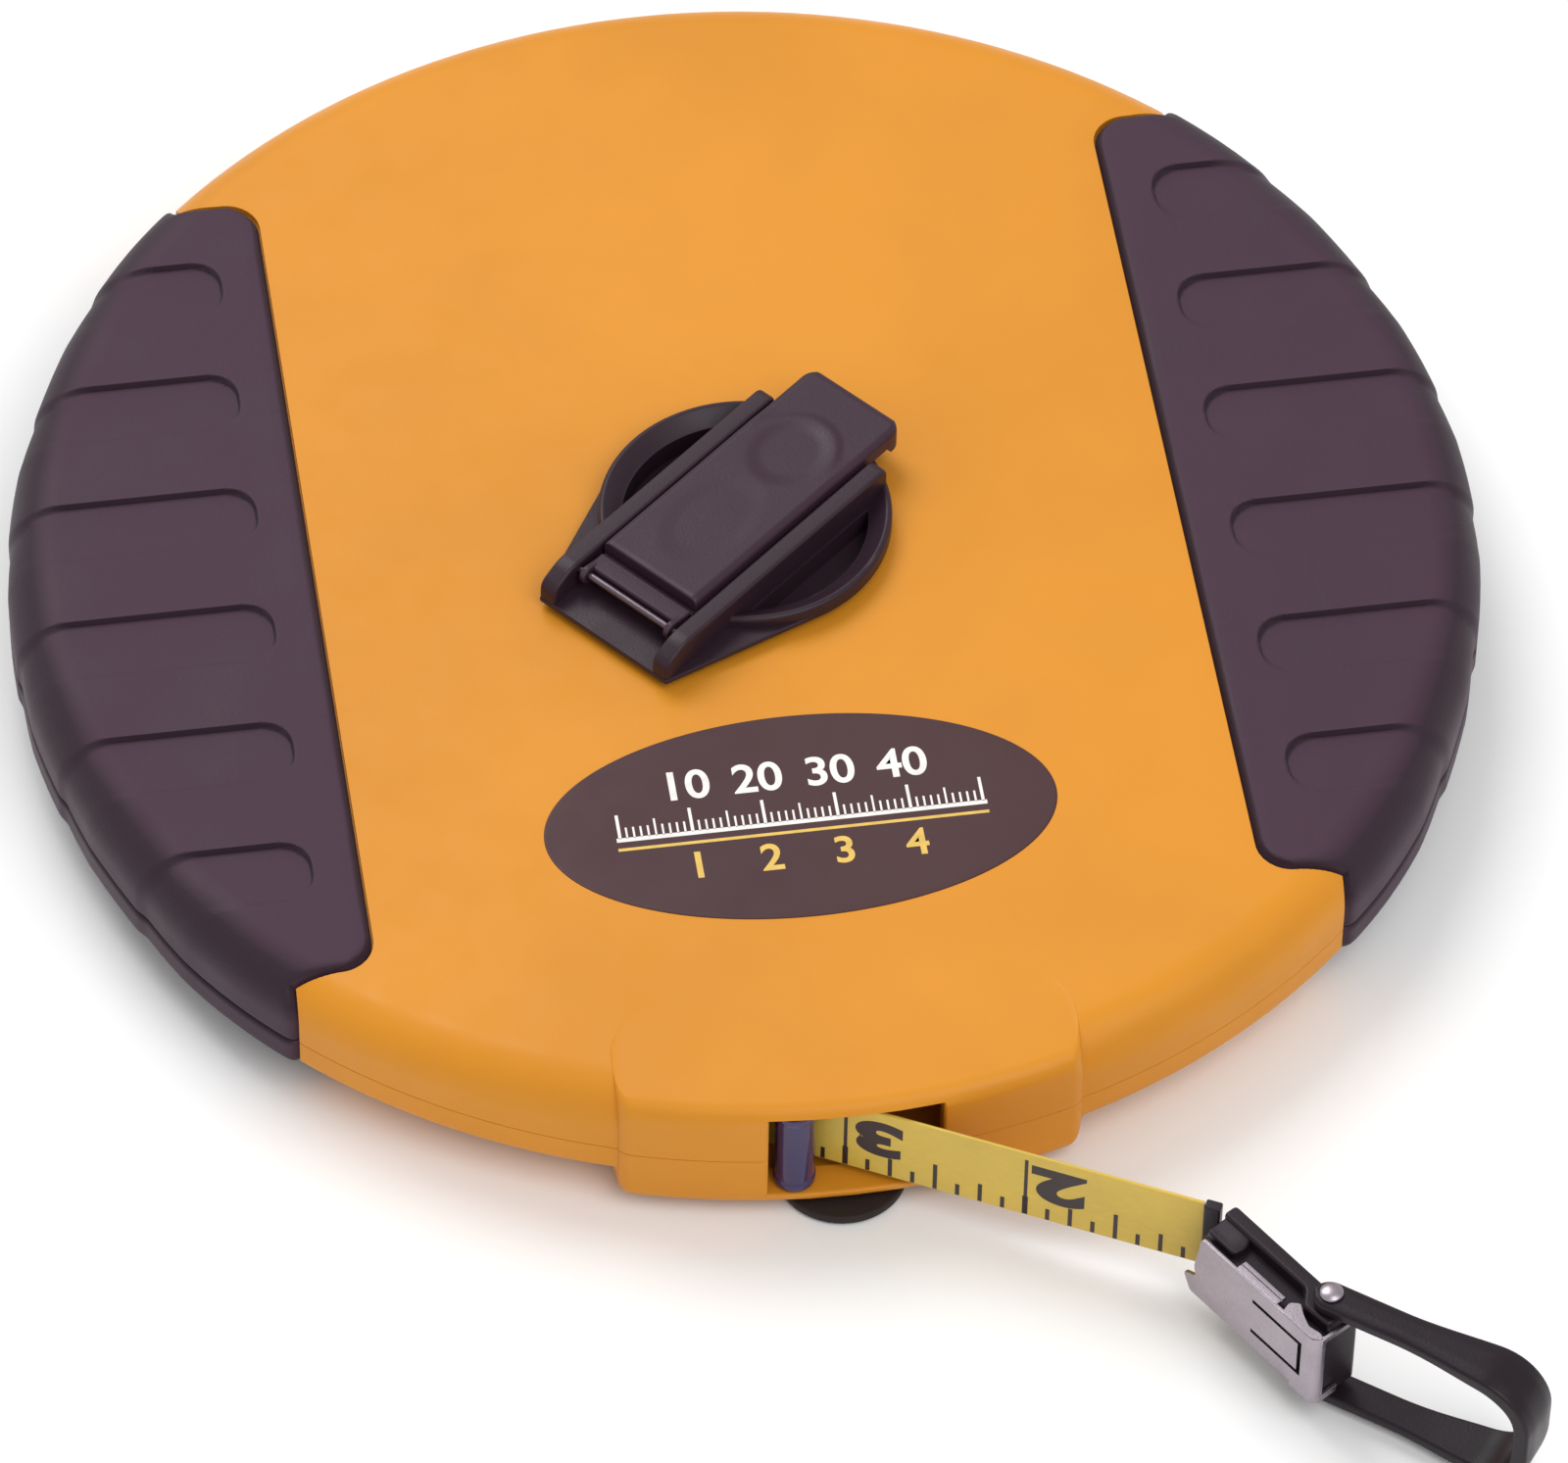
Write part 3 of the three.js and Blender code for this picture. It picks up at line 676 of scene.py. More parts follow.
def make_light(name, place, power):
    """A soft round lamp that shines on the part."""
    data = bpy.data.lights.new(name, "AREA")
    data.shape = "DISK"
    data.size = LIGHT_SIZE
    data.energy = power
    light = add_object(name, data)
    light.location = place
    light.rotation_euler = (-Vector(place)).to_track_quat("-Z", "Y").to_euler()


def make_stage():
    scene = bpy.context.scene
    scene.view_settings.view_transform = "Standard"
    world = bpy.data.worlds.new("studio")
    world.use_nodes = True
    sky = world.node_tree.nodes["Background"]
    sky.inputs["Color"].default_value = (1, 1, 1, 1)
    sky.inputs["Strength"].default_value = 0.6
    scene.world = world
    make_light("key", (-0.5, 1.1, 1.6), 19.5)
    make_light("fill", (0.5, -0.95, 1.5), 11)
    half = FLOOR_SIZE / 2
    verts = [(x, y, 0) for x, y in rectangle((-half, half), (-half, half))]
    floor = new_object("floor", verts, [[0, 1, 2, 3]])
    look = Look("floor_paper")
    look.feed("Base Color", look.mix(look.noise(3), (0.95, 0.95, 0.95, 1), (0.97, 0.97, 0.97, 1)))
    look.set(Roughness=0.9)
    floor.data.materials.append(look.material)


# ---- Case ----


def outer_rim(flat, radius, edge, top):
    """An outline of (radius, height) that goes over a rounded edge and down to the parting."""
    shoulder = arc((radius - edge, top - edge), edge, 90, 0, 16)
    side = [(radius, 14), (radius, PARTING + 0.16), (radius - 0.05, PARTING + 0.04)]
    return flat + shoulder + side + [(radius - 0.16, PARTING)]


def case_rim():
    flat = [(r, CASE_TOP) for r in (RIM_START, 90, 94, 95.8)]
    return outer_rim(flat, CASE_RADIUS, SHOULDER, CASE_TOP)


def mouth_rim():
    """The rim over the mouth block, point for point with the case's; its top slopes down a little."""
    drops = ((RIM_START, 0), (91, 0.02), (96, 0.1), (99.5, 0.2))
    flat = [(r, CASE_TOP - drop) for r, drop in drops]
    return outer_rim(flat, MOUTH_RADIUS, MOUTH_EDGE, CASE_TOP - 0.35)


def inner_rim():
    centre = (FLAT_RADIUS, CASE_TOP - SHOULDER)
    return [(CASE_RADIUS - WALL, PARTING)] + arc(centre, SHOULDER - WALL, 0, 90, 6)


def rim_columns():
    """Places round the case, as angles from the mouth, crowded at the mouth block's two walls."""
    inside = [0, 6, 12, 18, 24, 28, MOUTH_HALF_WIDTH - MOUTH_CORNER]
    bends = [1 - math.sin(math.radians(a)) for a in (15, 30, 45, 60, 75, 84)]
    inside += [MOUTH_HALF_WIDTH - MOUTH_CORNER * bend for bend in bends]
    walls = inside + [MOUTH_HALF_WIDTH, MOUTH_HALF_WIDTH + 0.6, 33.5, 36]
    half = [math.degrees(math.asin(x / MOUTH_RADIUS)) for x in walls]
    half += [a for a in steps(22, 180, 79) if a < 180]
    return [-a for a in reversed(half[1:])] + half + [180]


def side_pull(y):
    """How far the case's side is drawn in from its round plan."""
    return SIDE_PULL * smooth(72, 38, abs(y))


def rim_spot(angle, radius):
    """Where a column crosses a radius: near the mouth block the columns run square to its front."""
    turn = math.radians(angle)
    straight = smooth(RIM_START, 97, radius) * (1 - smooth(20.5, 32, abs(angle)))
    x = radius * math.sin(turn)
    x += (MOUTH_RADIUS * math.sin(turn) - x) * straight
    y = radius * math.cos(turn)
    if straight:
        y = math.sqrt(radius * radius - x * x)
    x -= math.copysign(side_pull(y) * smooth(RIM_START, FLAT_RADIUS, radius), x)
    return x, -y


def mouth_weight(angle):
    """1 on the mouth block and 0 off it, with a rounded corner between."""
    depth = MOUTH_HALF_WIDTH - abs(MOUTH_RADIUS * math.sin(math.radians(angle)))
    if depth <= 0 or abs(angle) > 90:
        return 0
    return round_over(depth, MOUTH_CORNER)


def shell(name, centre_outer, centre_inner, is_ring):
    """A half of the case as a grid: its outer outline, then its inner one, at every column."""
    plain = centre_outer + case_rim() + inner_rim() + centre_inner
    bulged = centre_outer + mouth_rim() + inner_rim() + centre_inner
    rows = []
    for (r1, z1), (r2, z2) in zip(plain, bulged):
        row = []
        for angle in rim_columns():
            weight = mouth_weight(angle)
            radius = r1 + (r2 - r1) * weight
            x, y = rim_spot(angle, radius)
            row.append((x, y, z1 + (z2 - z1) * weight))
        rows.append(row)
    return tube(name, rows, wrap_rows=is_ring, caps=False)


def ease_rear(point):
    """Draws the rear shoulder in from its quarter round, except at the mouth block."""
    pull = side_pull(point.y)
    radius = math.hypot(point.x, point.y) + pull
    depth = CASE_LOW + SHOULDER - point.z
    if radius <= FLAT_RADIUS or depth <= 0:
        return
    wall = MOUTH_HALF_WIDTH
    at_mouth = smooth(wall + 0.6, wall, abs(point.x)) if point.y < 0 else 0
    turn = math.atan2(depth, radius - FLAT_RADIUS)
    scale = 1 - REAR_EASE * (1 - at_mouth) * math.sin(2 * turn)
    grow = (FLAT_RADIUS + (radius - FLAT_RADIUS) * scale - pull) / (radius - pull)
    point.x *= grow
    point.y *= grow
    point.z = CASE_LOW + SHOULDER - depth * scale


def mirror(obj):
    """Turns a piece of the front shell into the same piece of the rear shell."""
    for v in obj.data.vertices:
        v.co.z = FLIP - v.co.z
        ease_rear(v.co)
    weld(obj)
    return obj


def mouth_tool():
    """The shape of the mouth's opening, flared a little where it meets the block's front."""
    flare = 0.6
    left_flare = 2.6  # times the others: the tape's way in is eased on this side
    levels = [(MOUTH_RADIUS + 3, flare)]
    for a in steps(0, 90, 4):
        turn = math.radians(a)
        levels.append((MOUTH_RADIUS - flare * (1 - math.cos(turn)), flare * (1 - math.sin(turn))))
    levels.append((92, 0))
    rows = []
    for radius, grow in levels:
        across = steps(OPENING["left"] - left_flare * grow, OPENING["right"] + grow, 14)
        top = [(x, OPENING["high"] + 0.3 * grow) for x in across]
        bottom = [(x, OPENING["low"] - 0.6 * grow) for x in reversed(across)]
        rows.append([(x, -math.sqrt(radius * radius - x * x), z) for x, z in top + bottom])
    return tube("mouth_tool", rows)


def screw_places():
    for degrees in SCREW_ANGLES:
        a = math.radians(degrees)
        yield SCREW_CIRCLE * math.cos(a), SCREW_CIRCLE * math.sin(a)


def screw_tools():
    outline = [(0, -2), (HEAD_HOLE + 0.4, -2), (HEAD_HOLE + 0.4, CASE_LOW)]
    outline += [(HEAD_HOLE, CASE_LOW + 0.4), (HEAD_HOLE, 4.5), (1.5, 4.5), (1.5, 8), (0, 8)]
    return [lathe("screw_tool", outline, 32, place) for place in screw_places()]


def make_front_cover():
    centre_outer = [(HUB_OPENING, CASE_TOP - 0.5), (HUB_OPENING + 0.15, CASE_TOP - 0.15)]
    centre_outer += [(r, CASE_TOP) for r in (HUB_OPENING + 0.5, 30, 50, 70)]
    centre_inner = [(60, CASE_TOP - WALL), (HUB_OPENING, CASE_TOP - WALL)]
    cover = shell("front_cover_shell", centre_outer, centre_inner, True)
    cut(cover, mouth_tool(), pocket_tool(-1), pocket_tool(1))
    place_piece(cover, "case", "case_orange", ORANGE, "front_cover")


def make_rear_cover():
    pad = FLIP
    centre_outer = [(r, pad) for r in (0, 20, 40, 54)]
    step = [(56, pad), (PAD_RADIUS, pad), (PAD_RADIUS + 0.3, CASE_TOP), (64, CASE_TOP)]
    centre_outer += rounded(step, 1.2, 5, False)
    centre_outer += [(70, CASE_TOP)]
    centre_inner = [(60, CASE_TOP - WALL), (PILLAR_RADIUS, CASE_TOP - WALL)]
    centre_inner += [(PILLAR_RADIUS, FLIP - PILLAR_TOP), (0, FLIP - PILLAR_TOP)]
    cover = mirror(shell("rear_cover_shell", centre_outer, centre_inner, False))
    cut(cover, flat_ring("groove_tool", 52, 53.2, -1, 0.35, 0.3, 160), mouth_tool())
    cut(cover, mirror(pocket_tool(-1)), mirror(pocket_tool(1)), *screw_tools())
    place_piece(cover, "case", "case_orange", ORANGE, "rear_cover")


# ---- Grips ----


def recess_edges():
    return [RECESS_FIRST_Y - RECESS_SPACING * k for k in range(RECESS_COUNT)]


def grip_rows(plain):
    """Places along a grip, crowded at its ends and at the steep edges of each finger recess."""
    lips = [0, 0.06, 0.2, 0.45, 0.9, 1.6, 2.5, 3.5, 4.5, 5.2, 7]
    rows = [GRIP_LOW_END + lip for lip in lips] + [GRIP_HIGH_END - lip for lip in lips]
    rows += steps(-62, 60, 24 if plain else 40)
    if not plain:
        for edge in recess_edges():
            rows += [edge + 0.35, edge + 0.01]
            rows += [edge - s for s in (0.12, 0.24, 0.36, 0.48, 0.7, 1.0)]
            rows += [edge - s for s in steps(1.4, 10.6, 24)]
            rows += [edge - 11.2]
    return distinct(rows, 0.05)


def grip_columns(plain):
    """Places across a grip, from its inner edge over the shoulder to the parting."""
    flat = [0, 0.06, 0.2, 0.45, 0.9, 2.5, 4.5]
    if not plain:
        flat += [5.6, 6, 6.12, 6.24, 6.36, 6.48, 6.7] + steps(7, 11.5, 12)
    columns = [("flat", d) for d in flat + [13, 14.5]]
    columns += [("fill", t) for t in (0.25, 0.5, 0.75, 0.93)]
    columns += [("arc", a) for a in steps(0, 90, 16)]
    foot = PARTING if plain else PARTING + GRIP_PARTING
    return columns + [("side", foot + rise) for rise in (2.8, 1.8, 1.0, 0.7, 0.45, 0.25, 0.1, 0)]


def column_tilt(column):
    """How far the case's surface has turned over the shoulder, in radians."""
    kind, value = column
    if kind in ("flat", "fill"):
        return 0
    return math.radians(value if kind == "arc" else 90)


def end_reach(column, end, margin):
    """How far past a grip's nominal end this column runs: it slants, then follows the notch's line."""
    tilt = column_tilt(column)
    if tilt == 0:
        return 0
    radius = FLAT_RADIUS + SHOULDER * math.sin(tilt)
    notch = GRIP_NOTCH_X - margin
    corner = math.hypot(notch, end + GRIP_SLANT)
    if radius >= corner:
        return math.sqrt(radius * radius - notch * notch) - end
    start = math.sqrt(FLAT_RADIUS ** 2 - end * end)
    stop = math.sqrt(corner * corner - end * end)
    return GRIP_SLANT * (math.sqrt(radius * radius - end * end) - start) / (stop - start)


def grip_point(column, row, margin):
    """A point of the case's surface under a grip, its outward direction, and how far the edges are."""
    kind, value = column
    middle = (GRIP_LOW_END + GRIP_HIGH_END) / 2
    half = (GRIP_HIGH_END - GRIP_LOW_END) / 2
    away = 1 if row > middle else -1
    nominal = abs(row - middle) * (half + margin) / half
    end = half + margin - nominal
    reach = end_reach(column, half + margin + away * middle, margin)
    y = middle + away * (nominal + reach * smooth(9, 0, end))
    edge = end + reach * (1 - smooth(9, 0, end))
    start = GRIP_INNER_X - margin
    if end < GRIP_CORNER:
        start += GRIP_CORNER - math.sqrt(GRIP_CORNER ** 2 - (GRIP_CORNER - end) ** 2)
    tilt = column_tilt(column)
    if kind in ("flat", "fill"):
        flat_end = math.sqrt(FLAT_RADIUS ** 2 - y * y) - side_pull(y)
        room = min(1, (flat_end - start) / 14.8)
        inner_end = start + 14.5 * room
        x = start + value * room if kind == "flat" else inner_end + value * (flat_end - inner_end)
        return Vector((x, y, CASE_TOP)), Vector((0, 0, 1)), min(x - start, edge), 9
    radius = FLAT_RADIUS + SHOULDER * math.sin(tilt)
    x = math.sqrt(radius * radius - y * y) - side_pull(y)
    z = CASE_TOP - SHOULDER + SHOULDER * math.cos(tilt) if kind == "arc" else value
    out = Vector((x / radius * math.sin(tilt), y / radius * math.sin(tilt), math.cos(tilt)))
    return Vector((x, y, z)), out, edge, z - PARTING


def recess_depth(x, y, tilt):
    """Depth of the finger recesses: crisp rounded pockets on the flat face, soft waves on the rim."""
    turned = smooth(0, math.radians(50), tilt)
    wall = RECESS_WALL[0] + (RECESS_WALL[1] - RECESS_WALL[0]) * turned
    full = RECESS_DEPTH[0] + (RECESS_DEPTH[1] - RECESS_DEPTH[0]) * turned
    for edge in recess_edges():
        across = x - RECESS_INNER_X
        along = edge - y
        if across <= 0 or along <= 0 or along >= RECESS_WIDTH:
            continue
        nearest = min(along, RECESS_WIDTH - along)
        inside = min(across, nearest)
        if across < RECESS_CORNER and nearest < RECESS_CORNER:
            inside = RECESS_CORNER - math.hypot(RECESS_CORNER - across, RECESS_CORNER - nearest)
        fade = 1 - 0.85 * smooth(0, RECESS_WIDTH, along)
        return full * smooth(0, wall, inside) * fade
    return 0


def grip_layers(column, row):
    """A point of a grip's surface, and the one of its foot below it."""
    point, out, edge, parting = grip_point(column, row, 0)
    lip = round_over(edge, GRIP_LIP)
    rise = GRIP_PROUD * lip * round_over(parting - GRIP_PARTING + 0.04, GRIP_LIP)
    rise -= recess_depth(point.x, point.y, column_tilt(column)) * lip
    foot, foot_out, _, _ = grip_point(column, row, GRIP_FOOT)
    return point + out * rise, foot + foot_out * GRIP_UNDER


def pocket_layers(column, row):
    """The same for what is cut from a shell: its walls lean outwards, so that the seam is a groove."""
    top, top_out, _, parting = grip_point(column, row, GRIP_SEAM + GRIP_SEAM_FLARE)
    floor, floor_out, _, _ = grip_point(column, row, GRIP_SEAM)
    above = top + top_out * 1.6
    below = floor + floor_out * POCKET_DEPTH
    if parting < 0.01:
        above.z = PARTING - 1
        below.z = PARTING - 1
    return above, below


def grip_skin(name, side, plain, layers):
    """A solid that follows the case's surface between two layers, on the left side or the right."""
    outer = []
    inner = []
    for row in grip_rows(plain):
        pairs = [layers(column, row) for column in grip_columns(plain)]
        outer.append([(side * above.x, above.y, above.z) for above, _ in pairs])
        inner.append([(side * below.x, below.y, below.z) for _, below in pairs])
    return skin(name, outer, inner)


def pocket_tool(side):
    return grip_skin("pocket_tool", side, True, pocket_layers)


def make_grips():
    for word, side in (("left", -1), ("right", 1)):
        node = f"front_grip_{word}"
        front = grip_skin(f"{node}_rubber", side, False, grip_layers)
        place_piece(front, "case", "soft_grip", GRIP, node, sharp=50)
        node = f"rear_grip_{word}"
        rear = mirror(grip_skin(f"{node}_rubber", side, False, grip_layers))
        near = [place for place in screw_places() if place[0] * side > 66]
        cut(rear, *[pin("grip_hole", HEAD_HOLE + 0.5, -3, 6, 32, place) for place in near])
        place_piece(rear, "case", "soft_grip", GRIP, node, sharp=50)


# ---- Label ----


def label_plate():
    """The label's film: a unit disc with a rounded rim, stretched to the ellipse."""
    lip = 0.18
    bottom = CASE_TOP - 0.1
    share = lip / LABEL_HALF_HEIGHT
    outline = [(0, bottom), (1, bottom), (1, LABEL_TOP - lip), (1 - 0.3 * share, LABEL_TOP - 0.3 * lip)]
    outline += [(r, LABEL_TOP) for r in (1 - share, 0.9, 0.5, 0)]
    rows = []
    for scale, z in outline:
        ring = arc((0, 0), scale, 0, 357.5, 143)
        rows.append([(LABEL_HALF_WIDTH * x, LABEL_CENTRE_Y + LABEL_HALF_HEIGHT * y, z) for x, y in ring])
    return tube("label_plate", rows, caps=False)


def text_mesh(name, words, size, thickness, weight=0.018):
    """Numerals as a thin solid, centred on the origin."""
    curve = bpy.data.curves.new(name, "FONT")
    curve.body = words
    curve.size = size
    curve.align_x = "CENTER"
    curve.align_y = "CENTER"
    curve.offset = size * weight
    curve.extrude = thickness / 2
    holder = add_object(name, curve)
    mesh = evaluated_mesh(holder)
    bpy.data.objects.remove(holder)
    obj = add_object(name, mesh)
    weld(obj)
    return obj


def merge(name, parts):
    """Gathers separate solids into one object without joining their surfaces."""
    bm = bmesh.new()
    for part in parts:
        part.data.transform(part.matrix_basis)
        bm.from_mesh(part.data)
        bpy.data.objects.remove(part)
    mesh = bpy.data.meshes.new(name)
    bm.to_mesh(mesh)
    bm.free()
    return add_object(name, mesh)


def make_label():
    """The film and a plain ruler band, in place of the photo's lettering."""
    place_piece(label_plate(), "case", "label", LABEL_FILM, "front_label")
    ink = (LABEL_TOP - 0.02, LABEL_TOP + 0.03)
    base_y = LABEL_CENTRE_Y - 1.5
    width = (-SCALE_HALF - 0.5, SCALE_HALF + 0.5)
    white = [block("bar", width, (base_y, base_y + 0.7), ink)]
    yellow = [block("bar", width, (base_y - 1.6, base_y - 1.1), ink)]
    for k in range(2 * SCALE_HALF + 1):
        x = k - SCALE_HALF
        tall = 4.2 if k % SCALE_STEP == 0 else 3 if k % 5 == 0 else 1.9
        half = 0.22 if k % SCALE_STEP == 0 else 0.14
        white.append(block("tick", (x - half, x + half), (base_y + 0.6, base_y + 0.6 + tall), ink))
    for k in range(1, 5):
        for parts, words, size, rise in ((white, str(10 * k), 7, 8.6), (yellow, str(k), 6.4, -5.6)):
            number = text_mesh("number", words, size, 0.05)
            number.location = (SCALE_STEP * k - SCALE_HALF, base_y + rise, ink[1] - 0.025)
            parts.append(number)
    place_piece(merge("label_scale_white", white), "case", "label", LABEL_WHITE)
    place_piece(merge("label_scale_yellow", yellow), "case", "label", LABEL_YELLOW)


# ---- Mouth ----


def make_roller():
    bottom, top = span("mouth_roller")
    place = middle("mouth_roller")
    rim = high("mouth_roller").x - place[0] - 0.1
    waist = rim - 0.2
    outline = [(1.3, bottom), (rim, bottom), (rim, bottom + 1.1), (waist, bottom + 1.4)]
    outline += [(waist, top - 1.4), (rim, top - 1.1), (rim, top), (1.3, top)]
    roller = lathe("mouth_roller_barrel", rounded(outline, 0.25, 3), 72, place, ring=True)
    place_piece(roller, "roller", "roller", ROLLER_FILM, "mouth_roller")
    shaft = pin("roller_pin_steel", 1, *span("roller_pin"), 32, place, 0.2)
    place_piece(shaft, "case", "steel", STEEL, "roller_pin")


def make_bumper():
    base = low("mouth_bumper").z
    disc = [(0, base), (6.2, base), (6.5, base + 0.25), (7, base + 0.25), (7.3, base)]
    disc += [(9, base), (9, CASE_LOW - 0.1), (2, CASE_LOW - 0.1), (2, 3.3), (0, 3.3)]
    bumper = lathe("mouth_bumper_rubber", rounded(disc, 0.4, 4, False), 96, middle("mouth_bumper"))
    place_piece(bumper, "case", "black_rubber", RUBBER, "mouth_bumper")


# ---- Fasteners ----


def cross_tool(size, width, start, end, place=(0, 0)):
    """What cuts a cross into a screw's head."""
    x, y = place
    first = block("cross", (x - size, x + size), (y - width, y + width), (start, end))
    second = block("cross", (x - width, x + width), (y - size, y + size), (start - 0.01, end + 0.01))
    return join(first, second)


def make_case_screws():
    for k, place in enumerate(screw_places()):
        node = f"case_screw_{k + 1}"
        bottom = low(node).z
        outline = [(0, bottom), (2.6, bottom + 0.5), (2.6, bottom + 2.1), (1.2, bottom + 2.2)]
        outline += [(1.2, 17.5), (0.4, 18.5), (0, 18.5)]
        screw = lathe(f"{node}_steel", rounded(outline, 0.5, 4, False), 40, place)
        cut(screw, cross_tool(1.7, 0.32, bottom - 1, bottom + 1.2, place))
        place_piece(screw, "case", "steel", STEEL, node)


# ---- Crank ----


def teardrop():
    """Plan of the crank's base: the disc with tangents to the hinge end."""
    half = RAIL_OUTER - 0.1
    reach = math.hypot(CRANK_END, half)
    tangent = math.degrees(math.atan2(half, CRANK_END) - math.acos(DISC_RADIUS / reach))
    return [(CRANK_END, -half)] + arc((0, 0), DISC_RADIUS, -tangent, tangent, 72) + [(CRANK_END, half)]


def rail(sign):
    """One side rail: flat on top, blunt at the lever's tip and sloped a little at the hinge end."""
    outline = [(16.8, 23.7), (16.8, RAIL_TOP), (-26, RAIL_TOP), (CRANK_END + 0.2, 27.2), (CRANK_END, 23.7)]
    near = sign * RAIL_INNER
    far = sign * RAIL_OUTER
    return prism("rail", rounded(outline, 1.3, 5), min(near, far), max(near, far), 0.5, axis="y")


def side_well(sign):
    """What is hollowed out of the disc between a rail and the rim."""
    radius = DISC_RADIUS - 3.3
    edge = math.degrees(math.asin((RAIL_OUTER + 0.3) / radius))
    outline = rounded([(x, sign * y) for x, y in arc((0, 0), radius, edge, 180 - edge, 32)], 0.4, 2)
    return prism("side_well", outline, 20.8, 27)


def make_crank_base():
    rim = DISC_RADIUS
    dish = [(0, DISC_LOW), (rim - 0.4, DISC_LOW), (rim, DISC_LOW + 0.5), (rim, 25.8)]
    dish += [(rim - 0.7, 26.2), (rim - 3.3, 24.3), (rim - 4.5, 24), (0, 24)]
    base = lathe("crank_base_plastic", rounded(dish, 0.6, 5, False), 144)
    skirt = prism("skirt", teardrop(), DISC_LOW + 0.1, 24.3, 0.3)
    hub = [(0, 17.5), (18.1, 17.5), (18.4, 17.8), (18.4, 23.7), (0, 23.7)]
    deck = block("deck", (-20, 17.6), (-RAIL_INNER - 0.5, RAIL_INNER + 0.5), (23.8, 25.2), 0.3)
    slope = [(CRANK_END + 0.1, 23.6), (-18, 23.6), (-18, 24.72), (-25, 24.72), (CRANK_END + 0.1, 24.45)]
    ramp = prism("ramp", slope, -RAIL_INNER - 0.4, RAIL_INNER + 0.4, axis="y")
    join(base, skirt, lathe("hub", hub, 96), deck, ramp, rail(1), rail(-1))
    cut(base, side_well(1), side_well(-1))
    well = [(0, 18.5), (6, 18.5), (6.3, 18.8), (6.3, 24.8), (6.8, 25.3), (6.8, 30), (0, 30)]
    cut(base, lathe("well", well, 64, (KNOB_U, 0)))
    cut(base, pin("pocket", 3.7, 21.5, 30, 48), pin("hole", 1.8, 10, 30, 24))
    cut(base, lay_at_hinge(pin("bore", HINGE_BORE, -11.4, 11.4, 24)))
    # The base wears the darker copy of the crank's plastic: painted shade under the lever.
    place_piece(base, "winder", "crank_plastic", SHADED_BASE_BLACK, "crank_base", at=CRANK_FRAME)


def lever_half(u):
    """Half the lever's width, less where its tip's corners are rounded."""
    past = clamp(LEVER_CORNER - LEVER_TIP + u, 0, LEVER_CORNER)
    return LEVER_HALF - LEVER_CORNER + math.sqrt(LEVER_CORNER ** 2 - past ** 2)


def lever_height(u, v):
    """The lever's upper surface: rounded edges, two shallow dimples, and a step down past the first."""
    edge = min(LEVER_TIP - u, lever_half(u) - abs(v))
    start = u - LEVER_BACK
    drop = 0.9 * (1 - round_over(edge, 0.9)) + 0.3 * (1 - round_over(start, 0.3))
    across = math.hypot((u - DIMPLE_U) / 7.0, v / 6.0)
    drop += 0.2 * (1 - smooth(0.6, 1.0, across))
    drop += 0.16 * smooth(1.04, 1.14, across) * smooth(0, 5, u - DIMPLE_U)
    dish = math.hypot((u + 7) / 10, v / 6.2)
    drop += 0.08 * (1 - smooth(0.6, 1.0, dish))
    return LEVER_TOP - drop


def lever_floor(u):
    """The lever's underside, with a thicker lip at the tip."""
    return LEVER_LOW - 1.2 * smooth(20.8, 21.4, u)


def make_crank_arm():
    lips = [0, 0.05, 0.17, 0.4, 0.9]
    us = [LEVER_BACK + e for e in (0, 0.03, 0.1, 0.3)] + [LEVER_TIP - e for e in lips + [1.3, 1.8, 2.3]]
    us = distinct(us + steps(-19, 21.4, 100))
    shares = distinct([sign * (LEVER_HALF - e) for e in lips for sign in (-1, 1)] + steps(-7.2, 7.2, 36))
    top = []
    under = []
    for u in us:
        across = [share * lever_half(u) / LEVER_HALF for share in shares]
        top.append([(u, v, lever_height(u, v)) for v in across])
        under.append([(u, v, lever_floor(u)) for v in across])
    arm = skin("crank_arm_plastic", top, under)
    width = (-LEVER_HALF + 0.2, LEVER_HALF - 0.2)
    root = block("root", (-21.4, -19), width, (26.7, 27.6))
    tongue = block("tongue", (-23.7, -20.7), width, (26.6, 28.4), 0.35)
    join(arm, root, tongue)
    for near, far in ((-LEVER_HALF + 0.25, -7.2), (7.2, LEVER_HALF - 0.25)):
        ear = arc((HINGE_U, HINGE_Z), 1.35, 70, 290, 16) + [(-22, 26.75), (-22, 28.35)]
        join(arm, prism("ear", ear, near, far, 0.2, axis="y"))
    cut(arm, lay_at_hinge(pin("bore", HINGE_BORE, -12, 12)))
    cut(arm, pin("hole", 1.7, 20, 28.6, 32, (KNOB_U, 0)))
    place_piece(arm, "arm", "crank_plastic", CRANK_BLACK, "crank_arm", at=CRANK_FRAME)


def make_hinge_pin():
    shaft = lay_at_hinge(pin("crank_hinge_pin_steel", HINGE_BORE - 0.15, -11.2, 11.2, 32, edge=0.2))
    place_piece(shaft, "winder", "steel", DARK_STEEL, "crank_hinge_pin", at=CRANK_FRAME)


